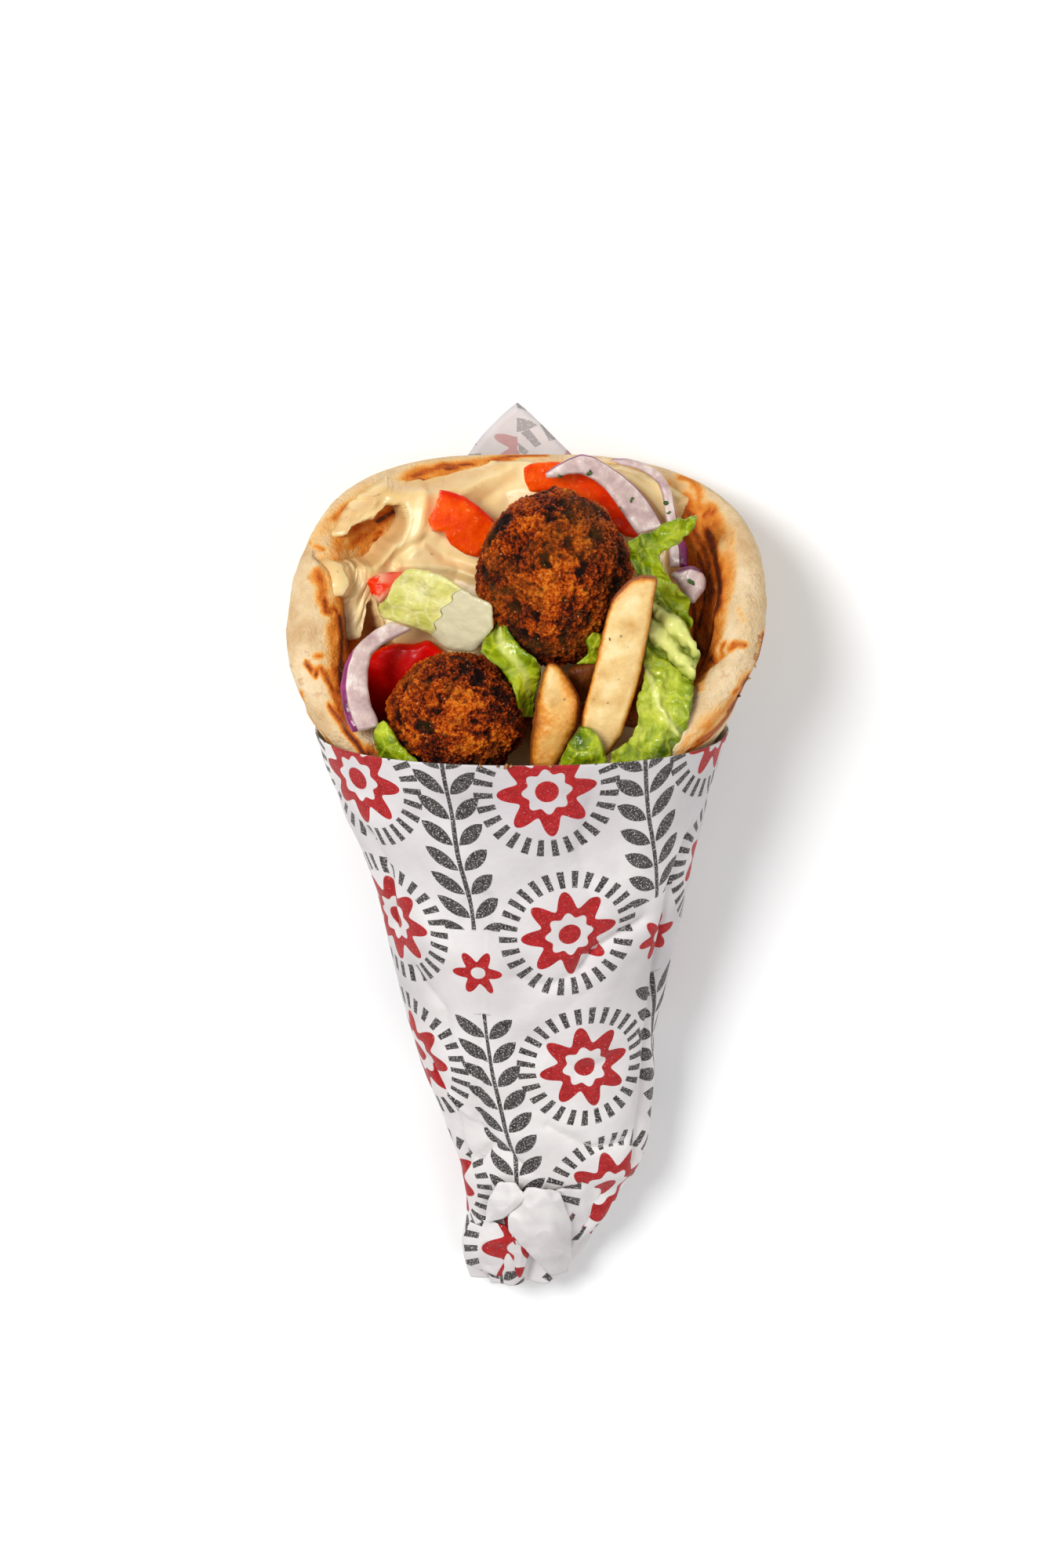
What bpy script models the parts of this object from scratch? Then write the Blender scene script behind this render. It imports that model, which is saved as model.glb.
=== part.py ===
"""Falafel pita in a paper cone, lying on its back with the filling facing up.

All shapes are laid out in the wrap's own axes, in metres:
u runs across the wrap, v runs from the twisted tail of the paper (0) up to the mouth, and w is the height
above the table. The empty "wrap_axes" turns them into the world, with the mouth towards -Y.
"""

import math

import bmesh
import bpy
import numpy as np
from mathutils import Matrix, Quaternion, Vector, noise

MM = 0.001

# The wrap as a whole.
TAIL_V = -1 * MM  # lowest end of the twisted paper tail
PAPER_EDGE_V = 147 * MM  # straight top edge of the paper across the front
PAPER_TIP_V = 217.7 * MM  # corner of the sheet that stands up behind the bread
MIDDLE_V = (TAIL_V + PAPER_TIP_V) / 2
SIDE_SHIFT = 0.5 * MM  # centres the finished outline on X = 0

# Cross-sections of the paper cone from tail to mouth: v, width, height, sideways lean. Above the paper's
# edge they go on as the widening mould that the bread's back and sides follow.
STATIONS = (
    (-2, 22, 15, -2),
    (8, 27, 19, -1),
    (18, 34, 23, 2.5),
    (30, 43, 28, 5),
    (50, 53, 35, 4),
    (70, 61, 42, 1.8),
    (90, 68, 49, 1.4),
    (110, 76.5, 56, 1.2),
    (130, 88, 63, -0.4),
    (147, 96, 68, -0.8),
    (165, 108, 78, -0.4),
    (180, 113, 90, 0),
    (195, 123, 106, 0),
    (210, 132, 118, -2),
)
ROUNDNESS = 2.25  # 2 is an ellipse, and more is squarer
SINK = 1.2 * MM  # how far the round back is flattened by lying on it

# Paper.
PAPER_WALL = 0.8 * MM
PAPER_FLOOR_V = 30 * MM  # below this the tail is bunched solid
TIP_HALF_ANGLE = 0.88  # angle over which the corner slopes down to the straight edge
PAPER_AROUND = 48

# Flatbread.
BREAD_HALF_WIDTH = 79.5 * MM
BREAD_SHIFT = 2.5 * MM  # further round on the right than on the left
BREAD_HALF_LENGTH = 87 * MM
BREAD_MIDDLE_V = 119.5 * MM
BREAD_SQUARENESS = 2.9
BREAD_THICKNESS = 11 * MM
BREAD_CLEARANCE = 0.5 * MM
BREAD_INSET = PAPER_WALL + BREAD_CLEARANCE + BREAD_THICKNESS / 2  # of its middle surface
BREAD_EDGE_GAP = 2.5 * MM  # kept where the two edges meet under the paper
BREAD_AROUND = 60

# Filling.
CORE_CLEARANCE = 0.9 * MM
CORE_INSET = BREAD_INSET + BREAD_THICKNESS / 2 + CORE_CLEARANCE
CORE_BOTTOM_V = 54 * MM
CORE_TOP_V = 205.7 * MM
CORE_STEPS = 25  # from bottom to top
CORE_BELOW = 15  # steps round the inside of the bread
CORE_ABOVE = 21  # steps back over the surface
TOUCH_GAP = 0.35 * MM

COLOURS = {
    "paper": ((0.86, 0.85, 0.84), 0.65),
    "bread": ((0.86, 0.68, 0.45), 0.75),
    "hummus": ((0.88, 0.72, 0.45), 0.4),
    "falafel": ((0.24, 0.09, 0.03), 0.8),
    "tomato": ((0.75, 0.07, 0.02), 0.25),
    "onion": ((0.80, 0.68, 0.72), 0.3),
    "lettuce": ((0.36, 0.58, 0.08), 0.4),
    "fry": ((0.87, 0.62, 0.24), 0.6),
}


def smooth_step(low, high, x):
    t = min(1.0, max(0.0, (x - low) / (high - low)))
    return t * t * (3 - 2 * t)


def station_curves():
    """Width, height and lean as smooth functions of v: cubic pieces with slopes from the neighbours."""
    rows = np.array(STATIONS, float) * MM
    v, values = rows[:, 0], rows[:, 1:]
    slopes = np.gradient(values, v, axis=0)

    def at(x):
        x = min(max(x, v[0]), v[-1])
        i = min(int(np.searchsorted(v, x, side="right")) - 1, len(v) - 2)
        step = v[i + 1] - v[i]
        t = (x - v[i]) / step
        rise = t * t * (3 - 2 * t)
        return (
            values[i] * (1 - rise)
            + values[i + 1] * rise
            + slopes[i] * step * t * (1 - t) ** 2
            - slopes[i + 1] * step * t * t * (1 - t)
        )

    return at


section_size = station_curves()


def power(x, exponent):
    return math.copysign(abs(x) ** exponent, x)


def section_point(v, angle, inset=0.0):
    """A point of the cross-section at v, drawn in by inset. Angle 0 is the back and pi is the front."""
    width, height, lean = section_size(v)
    half_width = width / 2 - inset
    half_height = (height + SINK) / 2 - inset
    u = lean + half_width * power(math.sin(angle), 2 / ROUNDNESS)
    w = (height - SINK) / 2 - half_height * power(math.cos(angle), 2 / ROUNDNESS)
    return Vector((u, v, max(w, inset, 0)))


def angle_at(v, arc, inset):
    """The angle at which the section's outline is arc metres from the back, and half its outline."""
    angles = np.linspace(0, math.pi, 73)
    points = np.array([section_point(v, a, inset) for a in angles])
    lengths = np.concatenate([[0], np.cumsum(np.linalg.norm(np.diff(points, axis=0), axis=1))])
    return float(np.interp(arc, lengths, angles)), float(lengths[-1])


def make_material(name):
    colour, roughness = COLOURS[name]
    material = bpy.data.materials.new(name)
    material.use_nodes = True
    shader = material.node_tree.nodes["Principled BSDF"]
    shader.inputs["Base Color"].default_value = (*colour, 1)
    shader.inputs["Roughness"].default_value = roughness
    shader.inputs["Metallic"].default_value = 0
    return material


def add_object(name, bm, kind, location=(0, 0, 0), turn=(0, 0, 0)):
    """Makes the bmesh an object of the wrap, at a location in metres and turned by degrees."""
    bmesh.ops.recalc_face_normals(bm, faces=bm.faces)
    mesh = bpy.data.meshes.new(name)
    bm.to_mesh(mesh)
    bm.free()
    mesh.shade_smooth()
    if kind not in bpy.data.materials:
        make_material(kind)
    mesh.materials.append(bpy.data.materials[kind])
    obj = bpy.data.objects.new(name, mesh)
    bpy.data.collections["falafel_pita"].objects.link(obj)
    obj.parent = bpy.data.objects["wrap_axes"]
    obj.location = location
    obj.rotation_euler = [math.radians(a) for a in turn]
    return obj


def loft(rings):
    """A closed solid through rings of equally many points, with a fan over each end."""
    bm = bmesh.new()
    rows = [[bm.verts.new(p) for p in ring] for ring in rings]
    count = len(rows[0])
    for low, high in zip(rows, rows[1:]):
        for i in range(count):
            j = (i + 1) % count
            bm.faces.new((low[i], low[j], high[j], high[i]))
    for row in (rows[0], rows[-1]):
        centre = bm.verts.new(sum((p.co for p in row), Vector()) / count)
        for i in range(count):
            bm.faces.new((row[i], row[(i + 1) % count], centre))
    return bm


# Paper cone.


def paper_top_v(angle):
    """Top edge of the sheet: straight across the front, with one corner standing up at the back."""
    share = max(0.0, 1 - abs(angle) / TIP_HALF_ANGLE)
    return PAPER_EDGE_V + (PAPER_TIP_V - PAPER_EDGE_V) * share


def tail_folds(v, angle):
    """How far the bunched paper of the tail is pressed in: deep pleats that turn as they go down."""
    bunched = 1 - smooth_step(14 * MM, 31 * MM, v)
    pleats = 1.5 * math.sin(5 * angle + 70 * v) + 0.9 * math.sin(9 * angle - 110 * v + 1.0)
    front = smooth_step(0.25, 0.9, abs(angle))
    tuck = 1.6 * math.exp(-(((v - 27 * MM) / (3.2 * MM)) ** 2)) * smooth_step(0.6, 1.2, angle)
    return ((pleats + 1.2) * bunched + tuck) * front * MM


def paper_ring(share, inner):
    ring = []
    for i in range(PAPER_AROUND):
        angle = math.pi * (2 * i / PAPER_AROUND - 1)
        low = PAPER_FLOOR_V if inner else TAIL_V
        v = low + (paper_top_v(angle) - low) * share
        ring.append(section_point(v, angle, PAPER_WALL if inner else tail_folds(v, angle)))
    return ring


def make_paper():
    outer_shares = [0, 0.035, 0.07, 0.105, 0.14, 0.17, 0.195, 0.22, 0.26]
    outer_shares += [0.26 + 0.74 * (i + 1) / 12 for i in range(12)]
    inner_shares = [1 - i / 7 for i in range(8)]
    rings = [paper_ring(share, False) for share in outer_shares]
    rings += [paper_ring(share, True) for share in inner_shares]
    add_object("paper_wrap", loft(rings), "paper")


# Flatbread.


def bread_half_width_at(v):
    share = min(1.0, abs(v - BREAD_MIDDLE_V) / BREAD_HALF_LENGTH)
    return BREAD_HALF_WIDTH * (1 - share**BREAD_SQUARENESS) ** (1 / BREAD_SQUARENESS)


def bend_bread(across, along, rise):
    """Where a point of the flat bread goes when it is folded. Rise is its height towards the filling."""
    v = BREAD_MIDDLE_V + along
    half_outline = angle_at(v, 0, BREAD_INSET)[1]
    half_width = bread_half_width_at(v)
    across += BREAD_SHIFT
    reach = half_width + (BREAD_SHIFT if across > 0 else -BREAD_SHIFT)
    across *= min(1.0, (half_outline - BREAD_EDGE_GAP) / reach)
    angle = angle_at(v, abs(across), BREAD_INSET)[0]
    return section_point(v, math.copysign(angle, across), BREAD_INSET + rise)


def bread_relief(across, along, inside):
    """Soft blisters: they only take away, so that neither face meets the paper or the filling."""
    place = Vector((across * 38, along * 38, 4.0 if inside else 9.0))
    return 1.0 * MM * (0.5 - 0.5 * noise.noise(place))


def make_bread():
    """A puffy round flatbread, bent into a deep fold that is open at the front."""
    half = BREAD_THICKNESS / 2
    rim = half / BREAD_HALF_WIDTH
    profile = [(share * (1 - rim), 1.0) for share in (0.22, 0.42, 0.58, 0.71, 0.82, 0.91, 1.0)]
    for step in (30, 60, 82):
        tilt = math.radians(step)
        profile.append((1 - rim * (1 - math.sin(tilt)), math.cos(tilt)))
    bm = bmesh.new()

    def ring(share, level, inside):
        row = []
        for i in range(BREAD_AROUND):
            turn = 2 * math.pi * i / BREAD_AROUND
            across = share * BREAD_HALF_WIDTH * power(math.cos(turn), 2 / BREAD_SQUARENESS)
            along = share * BREAD_HALF_LENGTH * power(math.sin(turn), 2 / BREAD_SQUARENESS)
            rise = level * half - bread_relief(across, along, inside) * min(1.0, level * 1.5)
            row.append(bm.verts.new(bend_bread(across, along, rise if inside else -rise)))
        return row

    rows = [ring(share, level, True) for share, level in profile]
    rows += [ring(share, level, False) for share, level in reversed(profile)]
    for low, high in zip(rows, rows[1:]):
        for i in range(BREAD_AROUND):
            j = (i + 1) % BREAD_AROUND
            bm.faces.new((low[i], low[j], high[j], high[i]))
    for row, side in ((rows[0], half), (rows[-1], -half)):
        centre = bm.verts.new(bend_bread(0, 0, side * 0.95))
        for i in range(BREAD_AROUND):
            bm.faces.new((row[i], row[(i + 1) % BREAD_AROUND], centre))
    add_object("pita", bm, "bread")


# Hummus, which fills the fold and is spread up its back.

HUMMUS_LEVELS = (
    (100, 60),
    (106, 50),
    (118, 45),
    (132, 36),
    (145, 31),
    (160, 29),
    (172, 27),
    (184, 24),
    (194, 21),
    (202, 18),
    (206, 16.5),
)


def hummus_height(u, v):
    """Height of the hummus: deep in the mouth, thin at the top, and drawn up the left wall in ridges."""
    places, heights = (np.array(column) * MM for column in zip(*HUMMUS_LEVELS))
    level = float(np.interp(v, places, heights))
    spread = smooth_step(150 * MM, 172 * MM, v)
    left = max(0.0, -u / (40 * MM))
    right = max(0.0, (u - 14 * MM) / (30 * MM))
    wall = (7 * left**2 + 5 * right**2) * spread * MM
    lumps = 1.3 * spread * noise.noise(Vector((u * 95, v * 95, 2.0))) * MM
    return level + wall + lumps


def wall_height(u, v, upper):
    """Height at u of the lower or the upper half of the space inside the bread."""
    width, height, lean = section_size(v)
    share = min(1.0, abs(u - lean) / (width / 2 - CORE_INSET))
    reach = ((height + SINK) / 2 - CORE_INSET) * (1 - share**ROUNDNESS) ** (1 / ROUNDNESS)
    return max(CORE_INSET, (height - SINK) / 2 + (reach if upper else -reach))


def shore_angle(v, side):
    """Where the hummus ends on the bread on one side: at its own level, or near the edge of the bread."""
    margin = (3.2 + 1.6 * noise.noise(Vector((side * 5, v * 90, 0)))) * MM
    last = min(0.8 * math.pi, angle_at(v, max(MM, bread_half_width_at(v) - margin), CORE_INSET)[0])
    first = min(last, 0.3 * math.pi)
    for i in range(41):
        angle = first + (last - first) * i / 40
        point = section_point(v, angle * side, CORE_INSET)
        if point.z >= hummus_height(point.x, v):
            return angle * side
    return last * side


def core_ring(v):
    """Round the inside of the bread from shore to shore, and back over the surface of the hummus."""
    left, right = shore_angle(v, -1), shore_angle(v, 1)
    ring = []
    for i in range(CORE_BELOW + 1):
        ring.append(section_point(v, left + (right - left) * i / CORE_BELOW, CORE_INSET))
    start, end = ring[-1], ring[0]
    for i in range(1, CORE_ABOVE):
        share = i / CORE_ABOVE
        point = start.lerp(end, share)
        level = min(hummus_height(point.x, v), wall_height(point.x, v, True))
        body = 2.2 * MM * math.sin(math.pi * share) ** 0.5
        surface = max(level, wall_height(point.x, v, False) + body)
        blend = smooth_step(0, 0.12, share) * smooth_step(0, 0.12, 1 - share)
        point.z = point.z * (1 - blend) + surface * blend
        point.z = max(point.z, wall_height(point.x, v, False) + 0.3 * body)
        ring.append(point)
    return ring


def inflated_copy(obj, distance, cutters):
    """A copy of the object's shape, grown by distance, that cuts room for it."""
    copy = bpy.data.objects.new(obj.name + "_room", obj.data.copy())
    cutters.objects.link(copy)
    copy.parent = obj.parent
    copy.location = obj.location
    copy.rotation_euler = obj.rotation_euler
    for modifier in obj.modifiers:
        twin = copy.modifiers.new(modifier.name, modifier.type)
        for key in ("thickness", "offset", "width", "segments", "use_even_offset"):
            if hasattr(twin, key):
                setattr(twin, key, getattr(modifier, key))
    swell = copy.modifiers.new("swell", "DISPLACE")
    swell.strength = distance
    swell.mid_level = 0
    copy.hide_render = True
    copy.display_type = "WIRE"


def make_hummus(embedded):
    depth = CORE_TOP_V - CORE_BOTTOM_V
    rings = [core_ring(CORE_BOTTOM_V + depth * i / CORE_STEPS) for i in range(CORE_STEPS + 1)]
    core = add_object("hummus", loft(rings), "hummus")
    cutters = bpy.data.collections["cutters"]
    for obj in embedded:
        inflated_copy(obj, TOUCH_GAP, cutters)
    cut = core.modifiers.new("room_for_pieces", "BOOLEAN")
    cut.operation = "DIFFERENCE"
    cut.operand_type = "COLLECTION"
    cut.collection = cutters
    cut.solver = "EXACT"


# Pieces of the filling.


def make_falafel(name, location, radii, seed):
    """A fried ball with a craggy crust. Its radii are in millimetres."""
    bm = bmesh.new()
    bmesh.ops.create_uvsphere(bm, u_segments=22, v_segments=14, radius=1)
    for vert in bm.verts:
        direction = vert.co.normalized()
        craggy = noise.noise(direction * 2.1 + Vector((seed, 0, 0))) * 0.055
        craggy += noise.noise(direction * 6.5 + Vector((0, seed, 0))) * 0.035
        vert.co = Vector(direction[i] * radii[i] * (1 + craggy) for i in range(3)) * MM
    return add_object(name, bm, "falafel", location)


def make_fry(name, location, turn, size, slant=0.0, point=0.0):
    """A cut of potato: a soft-edged bar with a slanted or pointed top end."""
    bm = bmesh.new()
    bmesh.ops.create_cube(bm, size=1)
    long_edges = [e for e in bm.edges if abs(e.verts[0].co.y - e.verts[1].co.y) > 0.5]
    bmesh.ops.subdivide_edges(bm, edges=long_edges, cuts=4)
    length, width, thickness = size
    for vert in bm.verts:
        x, y, z = vert.co
        top = smooth_step(0.1, 0.5, y)
        belly = 1 + 0.08 * math.sin(5 * y + length * 90)
        across = x * width * belly * (1 - point * top)
        along = y * length + x * slant * width * top
        bow = 0.03 * length * math.cos(3 * y) - 0.2 * point * thickness * top
        vert.co = Vector((across, along, z * thickness + bow))
    obj = add_object(name, bm, "fry", location, turn)
    soft = obj.modifiers.new("soft_edges", "BEVEL")
    soft.width = 1.3 * MM
    soft.segments = 1
    soft.limit_method = "ANGLE"


CHUNK_AROUND = 16
CHUNK_SQUARENESS = 2.4
CHUNK_CROWN = 0.25
CHUNK_LAYERS = ((-0.5, 0.72), (-0.32, 0.97), (0.12, 1.0), (0.38, 0.84), (0.5, 0.5))  # level and spread


def make_chunk(name, kind, location, turn, size):
    """A cut piece with a rounded outline and a swollen skin side, such as a wedge of tomato."""
    length, width, thickness = size
    rings = []
    for level, spread in CHUNK_LAYERS:
        ring = []
        for i in range(CHUNK_AROUND):
            a = 2 * math.pi * i / CHUNK_AROUND
            x = power(math.cos(a), 2 / CHUNK_SQUARENESS) * spread
            y = power(math.sin(a), 2 / CHUNK_SQUARENESS) * spread
            lift = CHUNK_CROWN * (1 - spread * spread) if level > 0 else 0
            ring.append(Vector((x * length / 2, y * width / 2, (level + lift) * thickness)))
        rings.append(ring)
    return add_object(name, loft(rings), kind, location, turn)


# Cross-section of a slice of onion: how far out and how high, as shares of its half width and thickness.
ONION_SECTION = ((-1, -0.4), (-0.75, 0.5), (0, 0.42), (0.8, 0.5), (1, 0.1), (0.85, -0.5), (0, -0.42))
ONION_STEPS = 12


def make_onion(name, location, turn, size, span, taper=0.55):
    """A slice of a ring of onion: an arc of flat band that narrows to its ends."""
    radius, width, thickness = (length * MM for length in size)
    rings = []
    for i in range(ONION_STEPS + 1):
        share = i / ONION_STEPS
        a = math.radians(span) * (share - 0.5)
        half = width / 2 * (1 - taper * abs(2 * share - 1) ** 2.2)
        middle = Vector((math.cos(a), math.sin(a), 0))
        rise = 0.12 * radius * math.sin(2 * a)
        ring = []
        for side, lift in ONION_SECTION:
            point = middle * (radius + side * half)
            point.z = lift * thickness + rise
            ring.append(point)
        rings.append(ring)
    return add_object(name, loft(rings), "onion", location, turn)


def bezier(points, t):
    """A point on the smooth curve that three points pull."""
    a, b, c = points
    return a * (1 - t) ** 2 + b * (2 * t * (1 - t)) + c * t * t


LEAF_ALONG = 9
LEAF_ACROSS = 5


def make_leaf(name, spine, width, face, ruffle, waves, curl, thick, seed, face_end=None):
    """A torn piece of lettuce: a thin ruffled sheet along a spine, turning from face to face_end."""
    spine = [Vector(p) * MM for p in spine]
    faces = Vector(face).normalized(), Vector(face_end or face).normalized()
    bm = bmesh.new()
    grid = []
    for i in range(LEAF_ALONG + 1):
        t = i / LEAF_ALONG
        centre = bezier(spine, t)
        heading = (bezier(spine, min(1, t + 0.05)) - bezier(spine, max(0, t - 0.05))).normalized()
        side = heading.cross(faces[0].lerp(faces[1], t)).normalized()
        up = side.cross(heading).normalized()
        end = (0.5 + 0.5 * smooth_step(0, 0.35, t)) * (0.5 + 0.5 * smooth_step(0, 0.35, 1 - t))
        row = []
        for j in range(LEAF_ACROSS + 1):
            s = 2 * j / LEAF_ACROSS - 1
            wave = ruffle * MM * s * abs(s) * math.sin(2 * math.pi * waves * t + seed + s)
            edge = 1 + 0.12 * math.sin(17 * t + seed * 3 + s * 2)
            point = centre + side * (s * width * MM / 2 * end * edge)
            point += up * (wave + curl * width * MM * (s * s - 0.35))
            row.append(bm.verts.new(point))
        grid.append(row)
    for low, high in zip(grid, grid[1:]):
        for a, b, c, d in zip(low, low[1:], high[1:], high):
            bm.faces.new((a, b, c))
            bm.faces.new((a, c, d))
    obj = add_object(name, bm, "lettuce")
    body = obj.modifiers.new("thickness", "SOLIDIFY")
    body.thickness = thick * MM
    body.offset = 0


def place(u, v, w):
    """A place, or the size of a piece, given in millimetres."""
    return Vector((u, v, w)) * MM


def between(base, tip, roll=0.0):
    """Location and turn in degrees that lay a piece's y axis from base to tip, rolled about that line."""
    base, tip = place(*base), place(*tip)
    lie = (tip - base).to_track_quat("Y", "Z") @ Quaternion((0, 1, 0), math.radians(roll))
    return (base + tip) / 2, [math.degrees(a) for a in lie.to_euler()], (tip - base).length


def make_potatoes():
    spot, turn, length = between((13.6, 132, 55), (25.9, 186.5, 53.5), 8)
    make_fry("fry_long", spot, turn, (length, 9.4 * MM, 8.2 * MM), slant=0.3)
    spot, turn, length = between((1.8, 122, 52), (6.9, 167.5, 53.5), -4)
    make_fry("fry_short", spot, turn, (length, 10.9 * MM, 8.2 * MM), point=0.5)
    spot, turn, length = between((14.4, 138, 37.6), (12.9, 163.2, 41.5), 20)
    make_fry("fry_behind", spot, turn, (length, 8.2 * MM, 7.4 * MM), slant=0.4)


def make_leaves():
    heart = ((-34, 181, 39), (-19, 183.4, 49), (-9.2, 170.2, 46.2))
    make_leaf("lettuce_heart", heart, 14, (0, -0.3, 1), 1.0, 1.5, 0.12, 2.2, 1)
    stem = ((-7, 170.6, 48.8), (1.3, 163.5, 54), (2.3, 155.5, 44))
    make_leaf("lettuce_stem", stem, 6.2, (0.4, -0.2, 1), 0.8, 2, 0.2, 1.2, 2)
    left = ((-33, 157, 54), (-30.2, 150, 61.5), (-27, 141, 56))
    make_leaf("lettuce_left", left, 7.5, (-0.5, 0, 1), 0.8, 2, 0.2, 0.9, 3)
    top = ((39, 198.8, 40.5), (22, 191.8, 45.5), (37, 178, 43.6))
    make_leaf("lettuce_top_right", top, 9, (0, 0, 1), 1.8, 3, 0.15, 0.9, 4)
    right = ((30.7, 178, 46.2), (38.5, 161, 54.4), (22.6, 145.4, 60.4))
    make_leaf("lettuce_right", right, 12.8, (-0.3, 0, 1), 1.2, 3, 0.1, 1.0, 5, (0.5, 0, 1))
    front = ((8, 138, 60), (13, 148, 62.5), (15.5, 158, 61.5))
    make_leaf("lettuce_front", front, 9, (0, 0, 1), 1.0, 2, 0.15, 0.9, 6)
    middle = ((12.0, 160, 51), (13.0, 166, 54), (14.1, 172, 53))
    make_leaf("lettuce_mid", middle, 5.5, (0.2, 0, 1), 0.8, 2, 0.2, 0.9, 7)


def make_filling():
    """All that shows in the mouth, in front of the hummus. It returns what the hummus makes room for."""
    balls = [
        make_falafel("falafel_large", place(6.4, 183.7, 39), (17.6, 20.4, 16.5), 3.0),
        make_falafel("falafel_small", place(-15.9, 152.6, 47), (15.6, 15.2, 15.2), 8.0),
    ]
    tomatoes = [
        make_chunk("tomato_back", "tomato", place(-14.5, 194, 24), (-12, 6, -42), place(19, 11.5, 7.5)),
        make_chunk("tomato_right", "tomato", place(14.5, 198.6, 21.5), (-10, 4, -32), place(34, 14, 6)),
        make_chunk("tomato_left", "tomato", place(-31, 180, 29), (-8, 20, 30), place(13, 10, 6)),
        make_chunk("tomato_front", "tomato", place(-26, 161, 29), (8, -12, 35), place(24, 19, 6.5)),
    ]
    onions = [
        make_onion("onion_back", place(6.8, 184.2, 34.9), (-14, 16, 44), (23.5, 7.5, 2.6), 100),
        make_onion("onion_right", place(19, 188, 32.3), (-18, 26, 44), (19, 4.8, 2.2), 100),
        make_onion("onion_left", place(-22.6, 160.3, 45.7), (24, -10, 176), (16.5, 6, 2.2), 112, 0.2),
    ]
    bit = make_chunk("onion_bit", "onion", place(38.4, 181.8, 35.2), (0, -30, 60), place(10.5, 7.5, 5))
    make_potatoes()
    make_leaves()
    return balls + tomatoes + onions + [bit]


def main():
    for obj in list(bpy.data.objects):
        bpy.data.objects.remove(obj)
    for name in ("falafel_pita", "cutters"):
        bpy.context.scene.collection.children.link(bpy.data.collections.new(name))
    axes = bpy.data.objects.new("wrap_axes", None)
    bpy.data.collections["falafel_pita"].objects.link(axes)
    axes.matrix_world = Matrix.Translation((SIDE_SHIFT, MIDDLE_V, 0)) @ Matrix.Rotation(math.pi, 4, "Z")
    make_paper()
    make_bread()
    embedded = make_filling()
    make_hummus(embedded)
    bpy.context.view_layer.update()


main()
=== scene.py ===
"""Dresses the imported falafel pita: fine surfaces, node materials, soft studio light and the camera.

Shapes are laid out in the wrap's own axes, in metres: u across, v from the paper's tail up to the mouth and
w above the table. to_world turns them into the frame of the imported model.
"""

import math

import bmesh
import bpy
import numpy as np
from mathutils import Matrix, Vector, noise


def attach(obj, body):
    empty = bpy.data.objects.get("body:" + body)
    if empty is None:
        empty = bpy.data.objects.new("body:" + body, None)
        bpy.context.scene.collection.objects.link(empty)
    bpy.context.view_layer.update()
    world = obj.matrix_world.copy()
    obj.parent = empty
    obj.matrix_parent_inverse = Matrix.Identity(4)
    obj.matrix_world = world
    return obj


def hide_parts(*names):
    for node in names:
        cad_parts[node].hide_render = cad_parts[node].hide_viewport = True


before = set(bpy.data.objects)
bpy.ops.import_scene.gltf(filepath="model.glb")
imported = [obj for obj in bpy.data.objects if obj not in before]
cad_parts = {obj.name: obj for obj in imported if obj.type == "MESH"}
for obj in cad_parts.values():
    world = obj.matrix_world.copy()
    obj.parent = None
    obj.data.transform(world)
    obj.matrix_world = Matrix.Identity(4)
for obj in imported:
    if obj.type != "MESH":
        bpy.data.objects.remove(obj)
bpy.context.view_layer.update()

MM = 0.001

# Sizes repeated from the part's source.
TAIL_V = -1 * MM
PAPER_EDGE_V = 147 * MM
PAPER_TIP_V = 217.7 * MM
MIDDLE_V = (TAIL_V + PAPER_TIP_V) / 2
SIDE_SHIFT = 0.5 * MM
# Millimetres: place along v, width, height and lean of the wrap's sections.
STATIONS = (
    (-2, 22, 15, -2), (8, 27, 19, -1), (18, 34, 23, 2.5), (30, 43, 28, 5), (50, 53, 35, 4),
    (70, 61, 42, 1.8), (90, 68, 49, 1.4), (110, 76.5, 56, 1.2), (130, 88, 63, -0.4), (147, 96, 68, -0.8),
    (165, 108, 78, -0.4), (180, 113, 90, 0), (195, 123, 106, 0), (210, 132, 118, -2),
)
ROUNDNESS = 2.25
SINK = 1.2 * MM
PAPER_WALL = 0.8 * MM
PAPER_FLOOR_V = 30 * MM
TIP_HALF_ANGLE = 0.88
BREAD_HALF_WIDTH = 79.5 * MM
BREAD_SHIFT = 2.5 * MM
BREAD_HALF_LENGTH = 87 * MM
BREAD_MIDDLE_V = 119.5 * MM
BREAD_SQUARENESS = 2.9
BREAD_THICKNESS = 11 * MM
BREAD_INSET = PAPER_WALL + 0.5 * MM + BREAD_THICKNESS / 2
BREAD_EDGE_GAP = 2.5 * MM

# Camera, as measured in the photograph: one photo pixel is 0.175 mm at the middle of the paper's front edge.
TILT = math.radians(15)
DISTANCE = 0.8
PIXEL = 0.000175
FOCUS = DISTANCE / PIXEL
ANCHOR = (670.0, 977.0)
FRAME_SIZE = (1333, 2000)
BACK = Vector((0, -math.sin(TILT), math.cos(TILT)))
UP = Vector((0, -math.cos(TILT), -math.sin(TILT)))
RIGHT = Vector((-1, 0, 0))


def to_world(points):
    points = np.asarray(points, float)
    return np.stack((SIDE_SHIFT - points[..., 0], MIDDLE_V - points[..., 1], points[..., 2]), -1)


TARGET = Vector(to_world((0, PAPER_EDGE_V, 68 * MM)))
EYE = TARGET + BACK * DISTANCE


def to_photo(points):
    """Photo pixels across and down, and the distance from the camera, of points of the wrap."""
    rel = to_world(points) - np.array(EYE)
    depth = -rel @ np.array(BACK)
    x = ANCHOR[0] + FOCUS * (rel @ np.array(RIGHT)) / depth
    y = ANCHOR[1] - FOCUS * (rel @ np.array(UP)) / depth
    return x, y, depth


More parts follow.
